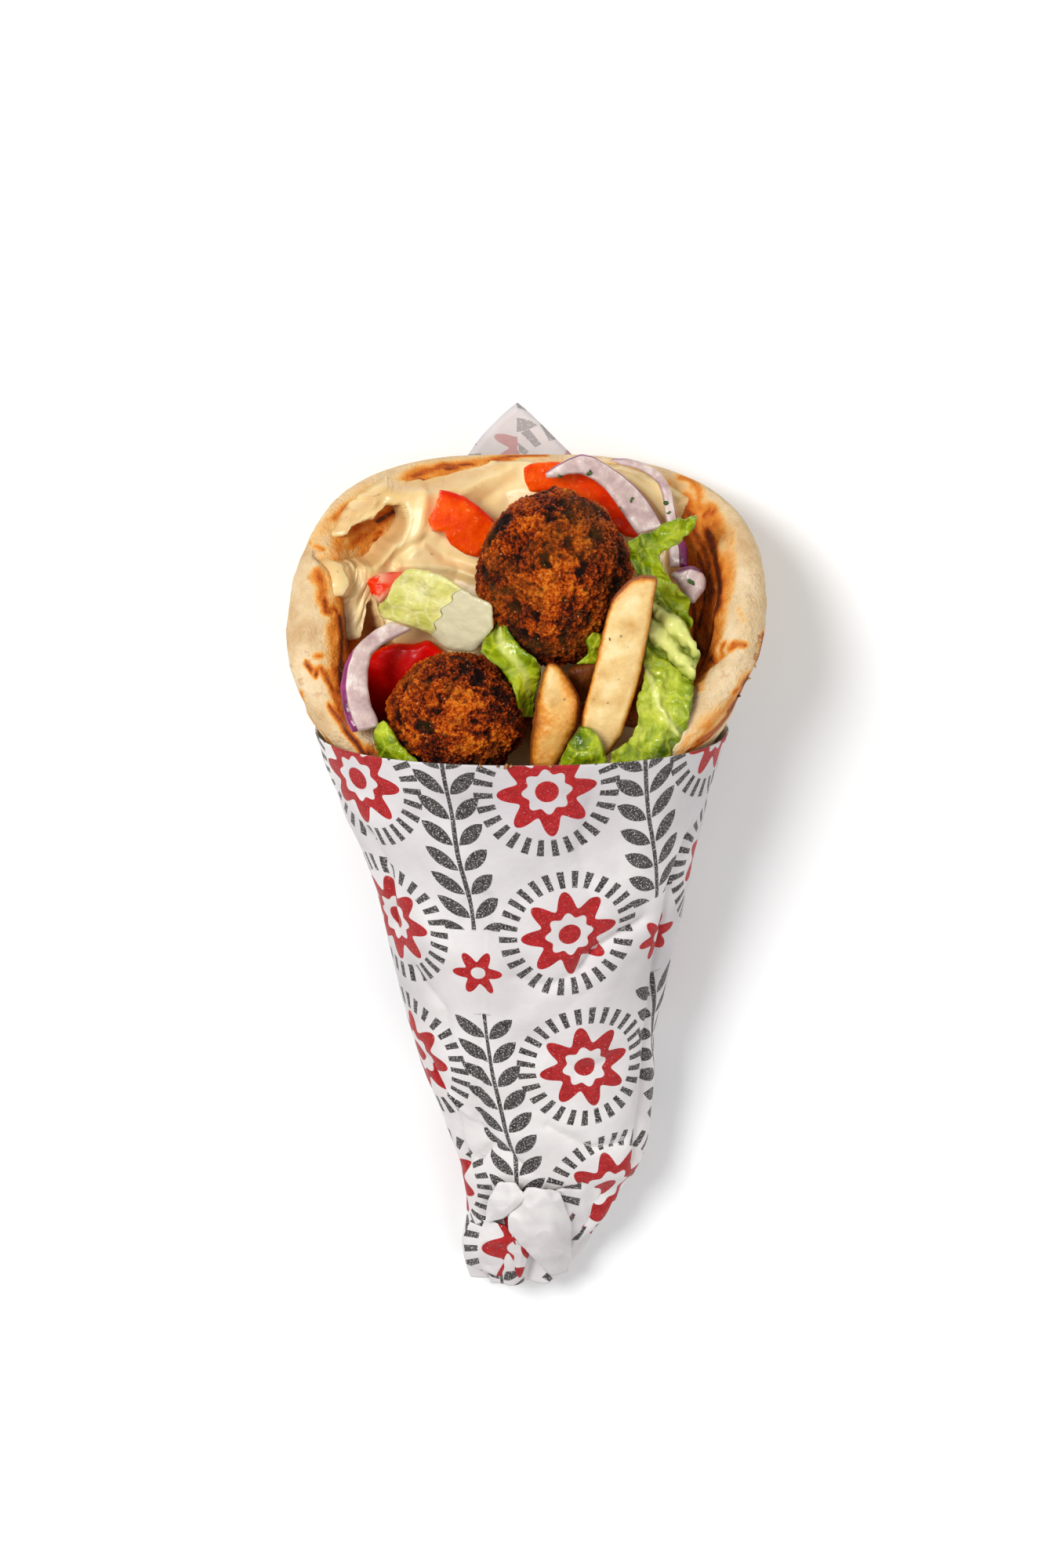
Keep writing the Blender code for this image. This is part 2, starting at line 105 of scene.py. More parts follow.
def from_photo(x, y, w):
    """The point of the wrap, at height w, that shows at a photo pixel."""
    x, y, w = np.broadcast_arrays(np.asarray(x, float), y, w)
    ray = (x - ANCHOR[0])[..., None] * np.array(RIGHT) - (y - ANCHOR[1])[..., None] * np.array(UP)
    ray = ray - np.array(BACK) * FOCUS
    spot = np.array(EYE) + ray * ((w - EYE[2]) / ray[..., 2])[..., None]
    return np.stack((SIDE_SHIFT - spot[..., 0], MIDDLE_V - spot[..., 1], w), -1)


# Small tools.


def smooth(low, high, x):
    t = np.clip((np.asarray(x, float) - low) / (high - low), 0, 1)
    return t * t * (3 - 2 * t)


def power(x, exponent):
    return np.sign(x) * np.abs(x) ** exponent


def clouds(points, scale, octaves=1, seed=0.0):
    """Soft noise from about -1 to 1 at each point; scale is in features a metre."""
    spots = np.asarray(points, float).reshape(-1, 3) * scale + seed
    values = [noise.fractal(Vector(p), 0.9, 2.1, octaves) for p in spots]
    return np.array(values).reshape(np.shape(points)[:-1])


def ridges(points, scale, seed=0.0):
    """Sharp-crested noise from 0 to 1."""
    return 1 - np.abs(np.clip(clouds(points, scale, 2, seed) * 2, -1, 1))


def grains(points, scale, seed=0.0):
    """Round grains packed side by side: 1 at the middle of a grain and 0 between grains."""
    nearest = np.array([noise.voronoi(Vector(p))[0][0] for p in points * scale + seed])
    return np.clip(1 - nearest / 0.75, 0, 1)


def grid_faces(rows, columns, closed=False):
    """Quads between neighbours of a grid of points, as an array of corner numbers."""
    i, j = np.meshgrid(np.arange(rows - 1), np.arange(columns if closed else columns - 1), indexing="ij")
    right = (j + 1) % columns
    corners = (i * columns + j, i * columns + right, (i + 1) * columns + right, (i + 1) * columns + j)
    return np.stack(corners, -1).reshape(-1, 4)


def grid_normals(points):
    normals = np.cross(np.gradient(points, axis=0), np.gradient(points, axis=1))
    return normals / np.maximum(np.linalg.norm(normals, axis=-1, keepdims=True), 1e-12)


def capped(rings):
    """The points and faces of a stack of rings with a cap on the first and on the last."""
    rows, count = rings.shape[:2]
    faces = [*grid_faces(rows, count, True), range(count), range(rows * count - count, rows * count)]
    return rings.reshape(-1, 3), faces


def two_sided(upper, under):
    """The points and faces of a sheet with an upper side, an under side and a rim between them."""
    rows, columns = upper.shape[:2]
    count = rows * columns
    quads = grid_faces(rows, columns)
    rim = np.arange(count).reshape(rows, columns)
    rim = [*rim[0], *rim[1:, -1], *rim[-1, -2::-1], *rim[-2:0:-1, 0]]
    faces = [*quads, *(quads[:, ::-1] + count)]
    faces += [(a, b, b + count, a + count) for a, b in zip(rim, rim[1:] + rim[:1])]
    return np.concatenate((upper.reshape(-1, 3), under.reshape(-1, 3))), faces


def add_object(name, data):
    obj = bpy.data.objects.new(name, data)
    bpy.context.scene.collection.objects.link(obj)
    return obj


def add_piece(name, points, faces, kind, *nodes, **facts):
    """Makes a mesh piece that rides on the wrap and replaces nodes. Kind is its slot, which is not used, and
    its material. Facts are values at its points, which its material reads."""
    slot, material = kind
    mesh = bpy.data.meshes.new(name)
    mesh.from_pydata(to_world(points).tolist(), [], [list(map(int, face)) for face in faces])
    for key, values in facts.items():
        values = np.asarray(values, np.float32)
        vector = values.ndim > 1
        layer = mesh.attributes.new(key, "FLOAT_VECTOR" if vector else "FLOAT", "POINT")
        layer.data.foreach_set("vector" if vector else "value", values.ravel())
    bm = bmesh.new()
    bm.from_mesh(mesh)
    bmesh.ops.recalc_face_normals(bm, faces=bm.faces)
    bm.to_mesh(mesh)
    bm.free()
    mesh.shade_smooth()
    mesh.materials.append(material)
    obj = add_object(name, mesh)
    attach(obj, "root")
    if nodes:
        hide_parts(*nodes)


def join(parts):
    """Puts meshes together as one: each part is its points, its faces and its facts."""
    points, faces, facts, count = [], [], {}, 0
    for spots, quads, values in parts:
        points.append(spots)
        faces += [[int(corner) + count for corner in quad] for quad in quads]
        for key, value in values.items():
            facts.setdefault(key, []).append(value if np.ndim(value) else np.full(len(spots), value))
        count += len(spots)
    return np.concatenate(points), faces, {key: np.concatenate(value) for key, value in facts.items()}


def remember(points):
    """A surface that can be painted through photo pixels."""
    points = np.asarray(points, float).reshape(-1, 3)
    return {"points": points, "photo": to_photo(points)}


def surface_spot(x, y, surface):
    """The nearest point to the camera of a surface's points that shows at a photo pixel."""
    across, down, depth = surface["photo"]
    off = np.hypot(across - x, down - y)
    near = off < max(4.0, off.min() * 1.3)
    return surface["points"][near][np.argmin(depth[near])]


def off_path(points, path):
    """How far points are from a path through given places, in two or three dimensions."""
    best = np.full(points.shape[:-1], 1e9)
    for a, b in zip(path, path[1:]):
        line = b - a
        share = np.clip((points - a) @ line / max(line @ line, 1e-12), 0, 1)
        best = np.minimum(best, np.linalg.norm(points - a - share[..., None] * line, axis=-1))
    return best


def stroke(points, surface, path, radius, sharpness=2.0):
    """1 on a brush stroke laid on a surface through photo pixels, and falling to 0 away from it."""
    far = off_path(points, [surface_spot(x, y, surface) for x, y in path])
    return np.exp(-((far / (radius * PIXEL)) ** sharpness))


def paint(points, surface, strokes):
    """The strongest of several strokes at each point: each is a radius in pixels, a strength and a path."""
    total = np.zeros(points.shape[:-1])
    for radius, strength, *path in strokes:
        mark = strength * stroke(points, surface, path, radius)
        total = np.where(np.abs(mark) > np.abs(total), mark, total)
    return total


def near_line(x, y, path, radius):
    """1 on a line drawn in photo pixels, and falling to 0 away from it."""
    return np.exp(-((off_path(np.stack((x, y), -1), np.array(path, float)) / radius) ** 2))


def inside_by(x, y, polygon):
    """How many pixels a place lies inside a polygon, and less than 0 outside it."""
    closed = np.array([*polygon, polygon[0]], float)
    inside = np.zeros(np.shape(x), bool)
    for (ax, ay), (bx, by) in zip(closed, closed[1:]):
        if by != ay:
            inside ^= ((ay > y) != (by > y)) & (x < (bx - ax) * (y - ay) / (by - ay) + ax)
    far = off_path(np.stack((x, y), -1), closed)
    return np.where(inside, far, -far)


def fit_height(x, y, w, curved):
    """A plane or a gently curved face over the photo pixels that comes near given heights."""
    middle_x, middle_y = x.mean(), y.mean()

    def terms(x, y):
        x, y = (x - middle_x) / 100, (y - middle_y) / 100
        parts = [np.ones_like(x), x, y]
        return np.stack(parts + [x * x, x * y, y * y] if curved else parts, -1)

    weights = np.linalg.lstsq(terms(x, y), w, rcond=None)[0]
    return lambda x, y: terms(x, y) @ weights


def distance_along(path):
    """The distance along a path at each of its points."""
    return np.concatenate(([0], np.cumsum(np.hypot(*np.diff(path, axis=0).T))))


def soft_ring(outline, count, soften, jag, seed):
    """Evenly spaced pixels round a closed outline, as complex numbers. Its corners are rounded by soften
    pixels, and its edge is ragged by jag pixels."""
    closed = np.array([*outline, outline[0]], float)
    length = distance_along(closed)
    places = np.arange(count) / count * length[-1]
    ring = np.interp(places, length, closed[:, 0]) + 1j * np.interp(places, length, closed[:, 1])
    pitch = np.fft.fftfreq(count, length[-1] / count)
    ring = np.fft.ifft(np.fft.fft(ring) * np.exp(-2 * (math.pi * pitch * soften) ** 2))
    spots = np.stack((ring.real, ring.imag, np.full(count, seed)), -1)
    out = ring - ring.mean()
    return ring + jag * clouds(spots, 0.09, 3, seed) * out / np.abs(out)


def soft_line(path, count, soften=3.0):
    """Evenly spaced pixels along an open line, with its bends softened."""
    path = np.array(path, float)
    length = distance_along(path)
    line = np.stack([np.interp(np.linspace(0, length[-1], count), length, column) for column in path.T], -1)
    reach = max(1, int(soften / length[-1] * count * 2))
    weights = np.hanning(2 * reach + 3)[1:-1]
    padded = np.concatenate((np.repeat(line[:1], reach, 0), line, np.repeat(line[-1:], reach, 0)))
    return np.stack([np.convolve(column, weights / weights.sum(), "valid") for column in padded.T], -1)


# The mould of the wrap, as in the part's source.

ROWS = np.array(STATIONS, float) * MM
SLOPES = np.gradient(ROWS[:, 1:], ROWS[:, 0], axis=0)
ANGLES = np.linspace(0, math.pi, 97)


def section_size(v):
    v = np.clip(v, ROWS[0, 0], ROWS[-1, 0])
    i = np.clip(np.searchsorted(ROWS[:, 0], v, side="right") - 1, 0, len(ROWS) - 2)
    step = (ROWS[i + 1, 0] - ROWS[i, 0])[..., None]
    t = (v - ROWS[i, 0])[..., None] / step
    rise = t * t * (3 - 2 * t)
    size = ROWS[i, 1:] * (1 - rise) + ROWS[i + 1, 1:] * rise
    size = size + SLOPES[i] * step * t * (1 - t) ** 2 - SLOPES[i + 1] * step * t * t * (1 - t)
    return np.moveaxis(size, -1, 0)


def section_point(v, angle, inset=0.0):
    """The point of the mould at v and an angle round from the back, inset from the paper's outer face."""
    v, angle, inset = np.broadcast_arrays(np.asarray(v, float), angle, inset)
    width, height, lean = section_size(v)
    u = lean + (width / 2 - inset) * power(np.sin(angle), 2 / ROUNDNESS)
    w = (height - SINK) / 2 - ((height + SINK) / 2 - inset) * power(np.cos(angle), 2 / ROUNDNESS)
    return np.stack((u, v, np.maximum(np.maximum(w, inset), 0)), -1)


def angle_at(v, arc, inset):
    """The angle where the section's outline is arc metres from the back, and half its outline, at each v."""
    points = section_point(v[:, None], ANGLES[None], inset)
    steps = np.linalg.norm(np.diff(points, axis=1), axis=2)
    lengths = np.concatenate((np.zeros((len(v), 1)), np.cumsum(steps, 1)), 1)
    i = np.clip((lengths < arc[:, None]).sum(1), 1, len(ANGLES) - 1)
    rows = np.arange(len(v))
    before, after = lengths[rows, i - 1], lengths[rows, i]
    share = np.clip((arc - before) / np.maximum(after - before, 1e-9), 0, 1)
    return ANGLES[i - 1] + share * ANGLES[1], lengths[:, -1]


# Node materials. A colour is three screen values from 0 to 255.


def srgb(*screen):
    parts = [c / 255 for c in screen]
    return (*[c / 12.92 if c <= 0.04045 else ((c + 0.055) / 1.055) ** 2.4 for c in parts], 1.0)


class Wire:
    """The output of a node, which adds, subtracts and multiplies like a number."""

    def __init__(self, material, node, output):
        self.material = material
        self.socket = node.outputs[output]

    def __add__(self, other):
        return self.material.math("ADD", self, other)

    def __sub__(self, other):
        return self.material.math("SUBTRACT", self, other)

    def __rsub__(self, other):
        return self.material.math("SUBTRACT", other, self)

    def __mul__(self, other):
        return self.material.math("MULTIPLY", self, other)


class Paint:
    """Builds one node material in few words."""

    def __init__(self, name, soft=(), coat=(), **constants):
        """Soft is the weight, scale and radius of light that sinks in, and coat a weight and a roughness."""
        constants.update(zip(("Subsurface_Weight", "Subsurface_Scale", "Subsurface_Radius"), soft))
        constants.update(zip(("Coat_Weight", "Coat_Roughness"), coat))
        self.material = bpy.data.materials.new(name)
        self.material.use_nodes = True
        self.tree = self.material.node_tree
        self.shader = self.tree.nodes["Principled BSDF"]
        for key, value in constants.items():
            self.shader.inputs[key.replace("_", " ")].default_value = value
        self.here = self.wire("TexCoord", "Object")

    def wire(self, kind, output, inputs=None, **settings):
        """Adds a node and gives one of its outputs."""
        made = self.tree.nodes.new("ShaderNode" + kind)
        for key, value in settings.items():
            setattr(made, key, value)
        for key, value in (inputs or {}).items():
            self.feed(made.inputs[key], value)
        return Wire(self, made, output)

    def feed(self, socket, value):
        if isinstance(value, Wire):
            self.tree.links.new(value.socket, socket)
        else:
            socket.default_value = srgb(*value) if isinstance(value, tuple) else value

    def finish(self, colour, normal=None, roughness=None):
        for name, value in (("Base Color", colour), ("Normal", normal), ("Roughness", roughness)):
            if value:
                self.feed(self.shader.inputs[name], value)
        return self.material

    def fact(self, name, output="Fac"):
        return self.wire("Attribute", output, attribute_name=name)

    def noise(self, scale, detail=3.0, rough=0.55, where=None):
        inputs = {"Vector": where or self.here, "Scale": scale, "Detail": detail, "Roughness": rough}
        return self.wire("TexNoise", "Fac", inputs)

    def cells(self, scale, feature="F1"):
        return self.wire("TexVoronoi", "Distance", {"Vector": self.here, "Scale": scale}, feature=feature)

    def math(self, operation, a, b=0.0):
        return self.wire("Math", 0, {0: a, 1: b}, operation=operation)

    def span(self, value, low, high, to_low=0.0, to_high=1.0):
        inputs = {"Value": value, "From Min": low, "From Max": high, "To Min": to_low, "To Max": to_high}
        return self.wire("MapRange", "Result", inputs, interpolation_type="SMOOTHSTEP")

    def mix(self, share, a, b, blend="MIX"):
        return self.wire("Mix", 2, {0: share, 6: a, 7: b}, data_type="RGBA", blend_type=blend)

    def ramp(self, value, *stops):
        """Colours along a value: each stop is its place and its colour."""
        made = self.wire("ValToRGB", "Color", {"Fac": value})
        marks = made.socket.node.color_ramp.elements
        while len(marks) < len(stops):
            marks.new(0.5)
        for mark, (place, *colour) in zip(marks, stops):
            mark.position = place
            mark.color = srgb(*colour)
        return made

    def bump(self, height, strength, distance):
        return self.wire("Bump", "Normal", {"Height": height, "Strength": strength, "Distance": distance})


def bread_material():
    p = Paint("flatbread", (0.12, 0.003, (1.0, 0.5, 0.25)), Specular_IOR_Level=0.25)
    mottle = p.noise(90, 5, 0.6)
    fine = p.noise(520, 4, 0.65)
    # The toast fact is browning, and in places painted shade.
    toast = p.fact("toast")
    level = toast + (mottle - 0.5) * 0.9 * p.span(toast, 0.02, 0.4)
    level = level + (fine - 0.5) * p.span(toast, 0.0, 0.5, 0.02, 0.3)
    pale = p.ramp(mottle, (0.3, 200, 160, 112), (0.5, 224, 196, 152), (0.7, 238, 215, 178))
    golden = (0.0, 236, 212, 172), (0.16, 232, 186, 120), (0.34, 224, 138, 44)
    brown = (0.54, 190, 88, 8), (0.74, 112, 44, 4), (1.0, 44, 18, 6)
    colour = p.mix(p.span(level, 0.0, 0.2), pale, p.ramp(level, *golden, *brown))
    freckles = p.span(p.noise(330, 3, 0.6), 0.56, 0.68) * p.span(mottle, 0.4, 0.6)
    colour = p.mix(freckles * 0.45, colour, (190, 132, 76))
    pores = p.span(p.cells(620), 0.2, 0.06) * p.span(p.noise(260, 2), 0.5, 0.6)
    colour = p.mix(pores * 0.4, colour, (150, 96, 52))
    relief = fine * 0.6 + p.noise(1500, 3, 0.6) * 0.4 + p.noise(210, 3, 0.6) * 1.2
    return p.finish(colour, p.bump(relief, 0.9, 0.0011), p.span(level, 0.2, 0.7, 0.78, 0.5))


def hummus_material():
    p = Paint("hummus", (0.2, 0.003, (1.0, 0.65, 0.3)), (0.08, 0.25))
    tone = p.noise(70, 4, 0.55)
    grain = p.noise(900, 3, 0.6)
    colour = p.ramp(tone, (0.3, 224, 190, 126), (0.5, 238, 209, 147), (0.7, 247, 226, 172))
    colour = p.mix(p.fact("thin") * 0.75, colour, (196, 138, 78))
    colour = p.mix(p.span(p.noise(650, 2, 0.5), 0.7, 0.76) * 0.5, colour, (176, 120, 60))
    relief = p.noise(240, 3, 0.5) * 0.7 + grain * 0.3
    return p.finish(colour, p.bump(relief, 0.3, 0.0006), p.span(tone, 0.35, 0.7, 0.28, 0.42))


def falafel_material():
    p = Paint("falafel crust", Specular_IOR_Level=0.15)
    fine = p.noise(2300, 4, 0.75)
    patch = p.noise(190, 4, 0.65)
    # Painted shade and light: the relief fact darkens the pits and lightens the raised crumbs, and the
    # stroke fact darkens the balls' edges and undersides.
    level = p.fact("crag") * 0.85 + fine * 1.3 - 0.58 + (patch - 0.5) * 0.8 - p.fact("burn") * 0.3
    dark = (0.16, 26, 8, 3), (0.34, 94, 24, 1), (0.5, 162, 58, 1)
    colour = p.ramp(level, *dark, (0.66, 212, 90, 4), (0.86, 242, 138, 34))
    green = p.span(p.noise(230, 3, 0.6), 0.56, 0.66)
    colour = p.mix(green * 0.45, colour, (60, 44, 9))
    olive = p.span(p.noise(70, 3, 0.6), 0.5, 0.62)
    colour = p.mix(olive * 0.3, colour, (118, 74, 14))
    black = p.span(p.cells(300), 0.3, 0.1) * p.span(p.noise(140, 2), 0.48, 0.56)
    colour = p.mix(black * 0.85, colour, (20, 12, 7))
    seeds = p.span(p.cells(760), 0.2, 0.08) * p.span(p.noise(330, 2), 0.56, 0.62)
    colour = p.mix(seeds * 0.8, colour, (238, 186, 120))
    relief = fine + p.cells(1700) * 0.5
    return p.finish(colour, p.bump(relief, 0.9, 0.0007), p.span(fine, 0.35, 0.7, 0.6, 0.34))


def fry_material():
    p = Paint("fried potato", (0.1, 0.002, (1.0, 0.6, 0.25)), (0.1, 0.3))
    tone = p.noise(150, 5, 0.6)
    fine = p.noise(1100, 3, 0.6)
    base = p.ramp(tone, (0.3, 204, 152, 76), (0.5, 228, 192, 124), (0.68, 243, 222, 168))
    share = p.fact("edge") * 0.95 + p.fact("brown") * 0.9 + (tone - 0.5) * 0.9 + (fine - 0.5) * 0.5
    crisp = p.ramp(share, (0.3, 238, 180, 82), (0.6, 218, 138, 38), (0.95, 142, 70, 16))
    colour = p.mix(p.span(share, 0.12, 0.62), base, crisp)
    colour = p.mix(p.span(p.cells(250), 0.13, 0.06) * 0.65, colour, (120, 86, 34))
    relief = p.noise(420, 3, 0.6) * 0.6 + fine * 0.4
    return p.finish(colour, p.bump(relief, 0.5, 0.0006), p.span(tone, 0.3, 0.7, 0.36, 0.55))


def tomato_material():
    p = Paint("tomato", (0.12, 0.003, (1, 0.2, 0.02)), (0.08, 0.06), Roughness=0.4, Specular_IOR_Level=0.08)
    # The deep fact mixes in the skin's colour; on the right piece it also carries painted shade.
    deep = p.fact("deep")
    tone = p.noise(160, 4, 0.6)
    grain = p.noise(750, 3, 0.6)
    flesh = p.ramp(tone, (0.28, 222, 44, 0), (0.5, 244, 82, 0), (0.74, 255, 112, 4))
    skin = p.ramp(tone, (0.3, 196, 0, 0), (0.55, 222, 2, 0), (0.75, 238, 14, 0))
    smear = p.fact("smear") * p.span(p.noise(260, 4, 0.6), 0.42, 0.58)
    colour = p.mix(smear, p.mix(deep, flesh, skin), (240, 206, 168))
    grains = p.span(grain, 0.6, 0.7) * (1.0 - deep * 0.8)
    colour = p.mix(grains * 0.35, colour, (255, 176, 108))
    return p.finish(colour, p.bump(grain * p.span(deep, 0.0, 1.0, 1.0, 0.15), 0.4, 0.0006))


def onion_material():
    p = Paint("red onion", (0.2, 0.002, (1.0, 0.8, 0.9)), (0.35, 0.1), Roughness=0.3)
    tone = p.noise(230, 4, 0.6)
    across = p.wire("CombineXYZ", 0, {"X": p.fact("lines") * 9.0})
    stripes = p.noise(1.0, 2, 0.5, across)
    base = p.ramp(tone, (0.3, 176, 146, 146), (0.5, 210, 186, 178), (0.68, 246, 236, 228))
    base = p.mix(p.span(stripes, 0.4, 0.6) * 0.2, base, (184, 146, 152))
    purple = p.ramp(tone, (0.35, 86, 6, 58), (0.7, 150, 40, 108))
    share = p.fact("rim") + (tone - 0.5) * 0.5
    return p.finish(p.mix(p.span(share, 0.35, 0.75), base, purple), p.bump(tone + stripes, 0.25, 0.0005))


def lettuce_material(name, dark, middle, light, rib_colour):
    p = Paint(name, (0.1, 0.002, (0.5, 1.0, 0.15)), (0.4, 0.07), Specular_IOR_Level=0.2)
    rib = p.fact("rib")
    tone = p.noise(120, 4, 0.6)
    colour = p.ramp(tone, (0.32, *dark), (0.52, *middle), (0.72, *light))
    colour = p.mix(p.span(p.cells(190, "DISTANCE_TO_EDGE"), 0.1, 0.0) * 0.45, colour, light)
    colour = p.mix(p.span(rib + (tone - 0.5) * 0.4, 0.35, 0.8), colour, rib_colour)
    # Darker at the margins, and on the right leaf painted shade in its grooves.
    colour = p.mix(p.fact("edge") * 0.4, colour, dark)
    relief = (p.noise(600, 2) * 0.2 - p.cells(230, "SMOOTH_F1")) * p.span(rib, 0.3, 0.8, 1.0, 0.15)
    return p.finish(colour, p.bump(relief, 1.0, 0.0024), p.span(tone, 0.3, 0.7, 0.28, 0.42))


def parsley_material():
    p = Paint("parsley", Roughness=0.5)
    colour = p.ramp(p.noise(900, 3), (0.35, 40, 66, 18), (0.65, 84, 118, 40))
    return p.finish(colour, p.bump(p.noise(2500, 2), 0.4, 0.0003))


def crumb_material():
    p = Paint("bread crumbs", Roughness=0.8)
    colour = p.ramp(p.noise(700, 3), (0.35, 126, 70, 30), (0.65, 214, 164, 100))
    return p.finish(colour, p.bump(p.noise(2600, 3), 0.7, 0.0004))


# Printed paper: millimetres of the flat sheet from one motif to the next.
TILE_ACROSS = 46.0
TILE_ALONG = 38.0
LEAF_PITCH = 6.6


def paper_material():
    """White greaseproof paper with a block print: red rosettes in rings of black strokes, black laurels."""
    p = Paint("printed paper", Roughness=0.6, Sheen_Weight=0.05, Specular_IOR_Level=0.3)
    sheet = p.fact("sheet", "Vector")
    x = p.wire("SeparateXYZ", 0, {0: sheet})
    y = p.wire("SeparateXYZ", 1, {0: sheet})

    def cell(a, tile, shift):
        """Millimetres from the middle of the tile."""
        return (p.math("FRACT", p.math("DIVIDE", a, tile) + shift) - 0.5) * tile

    def reach(a, b):
        return p.math("SQRT", a * a + b * b)

    def disc(far, turn, radius, wave=0.0, petals=1):
        """1 inside a petalled disc."""
        return p.span(p.math("COSINE", turn * petals) * wave + radius - far, -0.12, 0.12)

    # Rosettes in two columns, the second one half a step further down.
    dx, dy = cell(x, TILE_ACROSS, 0.0), cell(y, TILE_ALONG, 0.45)
    far, turn = reach(dx, dy), p.math("ARCTAN2", dy, dx)
    red = disc(far, turn, 9.3, 2.2, 8) * (1.0 - disc(far, turn, 5.2, 0.6, 8))
    red = p.math("MAXIMUM", red, disc(far, turn, 2.7))
    ring = p.span(p.math("ABSOLUTE", far - 14.6), 2.3, 2.1)
    rays = p.span(p.math("COSINE", turn * 28), 0.0, 0.25) * ring
    # Laurels between them. A leaf is the shared part of two circles, slanted off the stem.
    length, width, slant = 9.0, 3.5, 0.75
    radius = (length * length + width * width) / (4 * width)
    dx, dy = cell(x, TILE_ACROSS, 0.5), cell(y, 2 * TILE_ALONG, 0.1)
    side = p.math("ABSOLUTE", dx)
    px, py = side - 4.0, cell(y, LEAF_PITCH, 0.0) - 0.4
    along = px * math.cos(slant) + py * math.sin(slant)
    across = p.math("ABSOLUTE", py * math.cos(slant) - px * math.sin(slant))
    leaf = p.span(radius - reach(across + (radius - width / 2), along), -0.1, 0.1)
    leaves = p.math("MAXIMUM", leaf, p.span(side, 0.6, 0.45))
    black = p.math("MAXIMUM", rays, leaves * p.span(p.math("ABSOLUTE", dy), 26.6, 26.2))
    # A small red flower in each gap between the laurels.
    dy = cell(y, 2 * TILE_ALONG, 0.6)
    far, turn = reach(dx, dy), p.math("ARCTAN2", dy, dx)
    red = p.math("MAXIMUM", red, disc(far, turn, 4.6, 1.5, 6) * (1.0 - disc(far, turn, 1.6)))
    # Ink: worn and thin in places, and only showing through on the inner side.
    ink = p.noise(2.3, 4, 0.7, sheet)
    strength = p.span(p.fact("inner"), 0.0, 2.0, 1.0, 0.0)
    black = black * p.span(ink, 0.34, 0.47) * strength
    red = red * p.span(ink, 0.28, 0.4) * strength
    tone = p.noise(55, 4, 0.55)
    base = p.ramp(tone, (0.3, 216, 210, 208), (0.55, 230, 225, 223), (0.75, 241, 237, 233))
    # Broad grey patches multiplied into the white: painted shade of soft creases, laid at random.
    grey_shade_patches = p.mix(p.span(p.noise(16, 3, 0.5), 0.35, 0.62), (226, 224, 228), (255, 255, 255))
    base = p.mix(1.0, base, grey_shade_patches, "MULTIPLY")
    fibre = p.noise(700, 4, 0.7)
    base = p.mix(p.span(fibre, 0.35, 0.7) * 0.12, base, (208, 205, 210))
    colour = p.mix(red, base, p.ramp(fibre, (0.35, 152, 8, 14), (0.7, 186, 32, 34)))
    colour = p.mix(black, colour, p.ramp(fibre, (0.35, 32, 29, 28), (0.7, 82, 76, 72)))
    return p.finish(colour, p.bump(p.noise(160, 4, 0.6) + fibre * 0.25, 0.3, 0.0008))


def floor_material():
    p = Paint("studio floor", Roughness=0.9)
    return p.finish(p.ramp(p.noise(6, 2), (0.3, 250, 250, 250), (0.7, 253, 253, 253)))


# Paper.


def paper_top_v(angle):
    share = np.maximum(0, 1 - np.abs(angle) / TIP_HALF_ANGLE)
    return PAPER_EDGE_V + (PAPER_TIP_V - PAPER_EDGE_V) * share


def tail_folds(v, angle):
    """How far the bunched paper at the tail is drawn in."""
    bunched = 1 - smooth(14 * MM, 31 * MM, v)
    pleats = 1.5 * np.sin(5 * angle + 70 * v) + 0.9 * np.sin(9 * angle - 110 * v + 1.0)
    front = smooth(0.25, 0.9, np.abs(angle))
    tuck = 1.6 * np.exp(-(((v - 27 * MM) / (3.2 * MM)) ** 2)) * smooth(0.6, 1.2, angle)
    return ((pleats + 1.2) * bunched + tuck) * front * MM


# Creases on the front of the cone: radius in pixels, depth in millimetres, and their path in photo pixels.
FOLDS = (
    (9, 1.3, (887, 1064), (865, 1124), (850, 1200), (832, 1353), (812, 1480)),
    (8, -0.6, (905, 1010), (887, 1064)),
    (9, 1.5, (826, 1176), (790, 1200), (763, 1219), (748, 1240)),
    (14, 0.9, (748, 1240), (700, 1262), (655, 1250)),
    (12, 1.3, (466, 1070), (486, 1110), (495, 1180)),
    (12, 1.0, (618, 1150), (612, 1300), (606, 1430)),
    (9, 1.1, (539, 1353), (556, 1385), (574, 1425), (588, 1487)),
    (7, 1.5, (604, 1437), (624, 1462), (604, 1484)),
    (6, -0.9, (574, 1400), (604, 1437)),
    (7, 1.1, (640, 1470), (670, 1500)),
    (9, 1.0, (700, 1440), (760, 1470), (800, 1460)),
    (16, 0.7, (560, 1020), (600, 1100), (590, 1180)),
    (16, 0.8, (760, 1010), (742, 1090), (760, 1160)),
    (12, 0.9, (520, 1240), (560, 1290), (566, 1340)),
    (14, 0.7, (690, 1330), (740, 1370), (790, 1350)),
)


